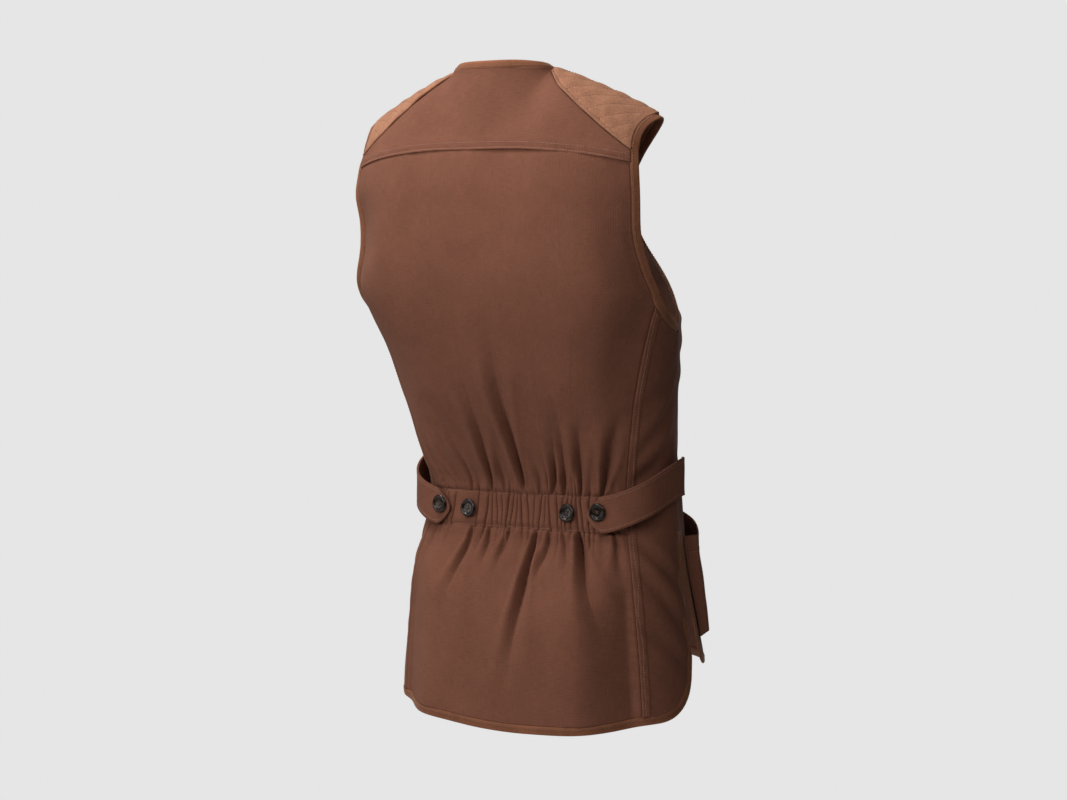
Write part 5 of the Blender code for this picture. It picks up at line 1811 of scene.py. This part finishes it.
@dataclass
class Panels:
    """Cloths of all panels, which the sewing and the tapes follow."""

    form: VestForm

    def __post_init__(self) -> None:
        """Lay out the cloths."""
        back_maker = Back(self.form)
        self.band_maker = Waistband(back_maker)
        self.back = back_maker.cloth()
        self.band = self.band_maker.cloth()
        self.yoke = Yoke(self.form).cloth()
        self.sides = {hand: SidePanel(self.form, hand).cloth() for hand in Hand}
        self.fronts = {hand: Front(self.form, hand).cloth() for hand in Hand}
        self.patches = {hand: Patch(self.form, hand) for hand in Hand}
        self.suedes = {hand: patch.cloth() for hand, patch in self.patches.items()}

    def build(self) -> None:
        """Make every panel's object."""
        self.back.build("back")
        self.band.build("waistband")
        self.yoke.build("yoke")
        for hand in Hand:
            self.sides[hand].build("side_panel_" + hand.word)
            self.fronts[hand].build("front_" + hand.word)
            self.suedes[hand].build("shoulder_patch_" + hand.word)


@dataclass
class ShootingVest:
    """The whole garment: panels, bindings, tabs, pockets, buttons and their sewing."""

    form: VestForm = field(default_factory=VestForm)
    yoke_rows: tuple[float, float] = (0.0020, 0.0082)
    fell_rows: tuple[float, float] = (0.0014, 0.0078)
    pocket_rows: tuple[float, float] = (0.0024, 0.0185)
    front_row: float = 0.0060
    patch_row: float = 0.0040
    tab_row: float = 0.0036
    turned_weight: float = 0.46
    turned_heading: Place = (0.814, 0.580, 0.0)
    nape_heading: Place = (0.0, -0.25, 0.97)
    point_heading: tuple[float, float] = (0.78, 0.62)

    def build(self) -> None:
        """Build and dress every piece."""
        panels = Panels(self.form)
        panels.build()
        self.sew_panels(panels)
        self.bind_armholes(panels)
        self.bind_neck(panels)
        self.bind_hems(panels)
        self.add_tabs_and_pockets()
        self.add_buttons()

    def sew_panels(self, panels: Panels) -> None:
        """Twin-needle rows of the panels' seams and the quilting.

        Args:
            panels: Cloths that are sewn.
        """
        sewing = Sewing("panel_stitches")
        for inset in self.yoke_rows:
            sewing.sew(*panels.yoke.line(Edge.LOW, inset), trim=0.004)
        for edge in (Edge.LOW, Edge.HIGH):
            sewing.sew(*panels.band.line(edge, panels.band_maker.sewn_at))
        for hand in Hand:
            for inset in self.fell_rows:
                sewing.sew(*panels.sides[hand].line(Edge.NEAR, inset), trim=0.002)
            sewing.sew(*panels.fronts[hand].line(Edge.FAR, self.front_row), trim=0.004)
        sewing.build()
        quilting = Sewing("quilting_stitches", SUEDE_SEWING, pitch=0.0034)
        for hand in Hand:
            suede = panels.suedes[hand]
            for line in panels.patches[hand].channels(suede):
                quilting.sew(*line)
            for edge in (Edge.LOW, Edge.HIGH):
                quilting.sew(*suede.line(edge, self.patch_row), trim=0.002)
        quilting.build()

    def bind_armholes(self, panels: Panels) -> None:
        """Tape round both armholes, along the panels that meet there.

        Args:
            panels: Cloths that the tape follows.
        """
        sewing = Sewing("armhole_stitches", SUEDE_SEWING)
        ridge = Patch.back_rows
        for hand in Hand:
            column = -1 if hand is Hand.LEFT else 0
            suede, side, front = panels.suedes[hand], panels.sides[hand], panels.fronts[hand]
            level = panels.back.points[:, column, 2]
            head = int(np.argmax(level > side.points[-1, 0, 2] + 0.004))
            under = int(np.argmax(front.points[:, 0, 2] > side.points[-1, -1, 2] + 0.004))
            chain = (
                (suede, (slice(ridge, 0, -1), 0)),
                (panels.yoke, (slice(-3, 3, -1), column)),
                (panels.back, (slice(-8, head, -1), column)),
                (side, (-1, slice(3, -3))),
                (front, (slice(under, -1), 0)),
                (suede, (slice(-2, ridge, -1), 0)),
            )
            points, outward = joined(chain)
            nodes = ["armhole_binding_" + hand.word]
            turned = (self.turned_share, self.turned_way)
            tape = Binding("armhole_suede_" + hand.word)
            tape.build(points, outward, hand.value, nodes, sewing, closed=True, lean=turned)
        sewing.build()

    def turned_share(self, line: Array) -> Array:
        """Share by which the left armhole's tape turns out along the back."""
        behind = blend(line[:, 1], -0.030, 0.010) * (line[:, 0] > 0.0)
        level = line[:, 2]
        between = blend(level, -0.300, -0.250)
        return self.turned_weight * behind * between * (1.0 - blend(level, -0.150, -0.100))

    def turned_way(self, line: Array) -> Array:
        """Way in which that tape turns: out to the side and the back."""
        return np.broadcast_to(np.array(self.turned_heading), line.shape)

    def bind_neck(self, panels: Panels) -> None:
        """Tape round the neck and down both edges of the V.

        Args:
            panels: Cloths that the tape follows.
        """
        form = self.form
        sewing = Sewing("neck_stitches", SUEDE_SEWING)
        ridge = Patch.back_rows
        centre = panels.yoke.points.shape[1] // 2
        halves = []
        for hand in Hand:
            step = 1 if hand is Hand.LEFT else -1
            front = panels.fronts[hand]
            low = int(np.argmax(front.points[:, -1, 2] > form.v_bottom + 0.003))
            chain = (
                (panels.yoke, (-1, slice(centre, centre + 25 * step, step))),
                (panels.suedes[hand], (slice(ridge, -1), -1)),
                (front, (slice(-2, low, -1), -1)),
            )
            halves.append(joined(chain))
        left, right = halves
        points = np.concatenate([right[0][:0:-1], left[0]])
        outward = np.concatenate([right[1][:0:-1], left[1]])

        def weight(line: Array) -> Array:
            """Share of the standing direction: full at the back neck, none down the V."""
            return 1.0 - blend(-line[:, 2], 0.002, 0.050)

        def standing(line: Array) -> Array:
            """Direction of the standing tape: up at the back, inwards at the neck points."""
            share = np.clip(np.abs(line[:, 0]) / form.neck_half_width, 0.0, 1.0)[:, None] ** 2
            hand = np.sign(line[:, :1])
            inward, upward = self.point_heading
            point = np.concatenate([-inward * hand, 0.0 * hand, upward + 0.0 * hand], axis=1)
            return unit(np.array(self.nape_heading) * (1.0 - share) + point * share)

        tape = Binding("neck_suede", width=0.0086)
        tape.build(points, outward, 1.0, ["neck_binding"], sewing, lean=(weight, standing))
        sewing.build()

    def bind_hems(self, panels: Panels) -> None:
        """Tape round the back hem and up its vents, and down the vents and hems of the fronts.

        Args:
            panels: Cloths that the tape follows.
        """
        form, back = self.form, panels.back
        sewing = Sewing("hem_stitches", SUEDE_SEWING)
        chain = []
        for hand in Hand:
            side = panels.sides[hand]
            top = int(np.argmax(side.points[:, -1, 2] > form.vent_start))
            edge = joined(((side, (0, slice(3, None))), (side, (slice(1, top), -1))))
            chain.append(run_on(edge, form.vent_reach))
        left, right = chain
        points = np.concatenate([right[0][::-1], back.points[0, 2:-2], left[0]])
        outward = np.concatenate([right[1][::-1], back.outward[0, 2:-2], left[1]])
        Binding("back_hem_suede").build(points, outward, -1.0, ["back_hem_binding"], sewing)
        for hand in Hand:
            front = panels.fronts[hand]
            top = int(np.argmax(front.points[:, 0, 2] > form.vent_start))
            edge = run_on((front.points[1:top, 0], front.outward[1:top, 0]), form.vent_reach)
            points = np.concatenate([edge[0][::-1], front.points[0]])
            outward = np.concatenate([edge[1][::-1], front.outward[0]])
            nodes = ["front_hem_binding_" + hand.word]
            Binding("front_hem_suede_" + hand.word).build(points, outward, -hand.value, nodes, sewing)
        sewing.build()

    def add_tabs_and_pockets(self) -> None:
        """Waist tabs and bellows pockets with their edge sewing."""
        sewing = Sewing("tab_and_pocket_stitches")
        for hand in Hand:
            tab = WaistTab(self.form, hand).cloth()
            tab.build("waist_tab_" + hand.word)
            for edge in (Edge.LOW, Edge.HIGH):
                sewing.sew(*tab.line(edge, self.tab_row))
            pocket = Pocket(self.form, hand).cloth()
            pocket.build("pocket_" + hand.word)
            for inset in self.pocket_rows:
                sewing.sew(*pocket.line(Edge.HIGH, inset), trim=0.004)
        sewing.build()

    def add_buttons(self) -> None:
        """Horn buttons of the waistband, the tabs and the front."""
        button = Button()
        places = [f"{kind}_button_{hand.word}" for kind in ("band", "tab") for hand in Hand]
        places += [f"front_button_{number}" for number in range(1, 6)]
        for number, node in enumerate(places):
            button.sew_on(node + "_horn", node, 0.4 + 0.9 * number)
            LOG.info("%s_horn: horn button", node)


def main() -> None:
    """Build the vest and its studio."""
    logging.basicConfig(level=logging.INFO, format="%(message)s")
    ShootingVest().build()
    Studio().build()


if __name__ == "__main__":
    main()
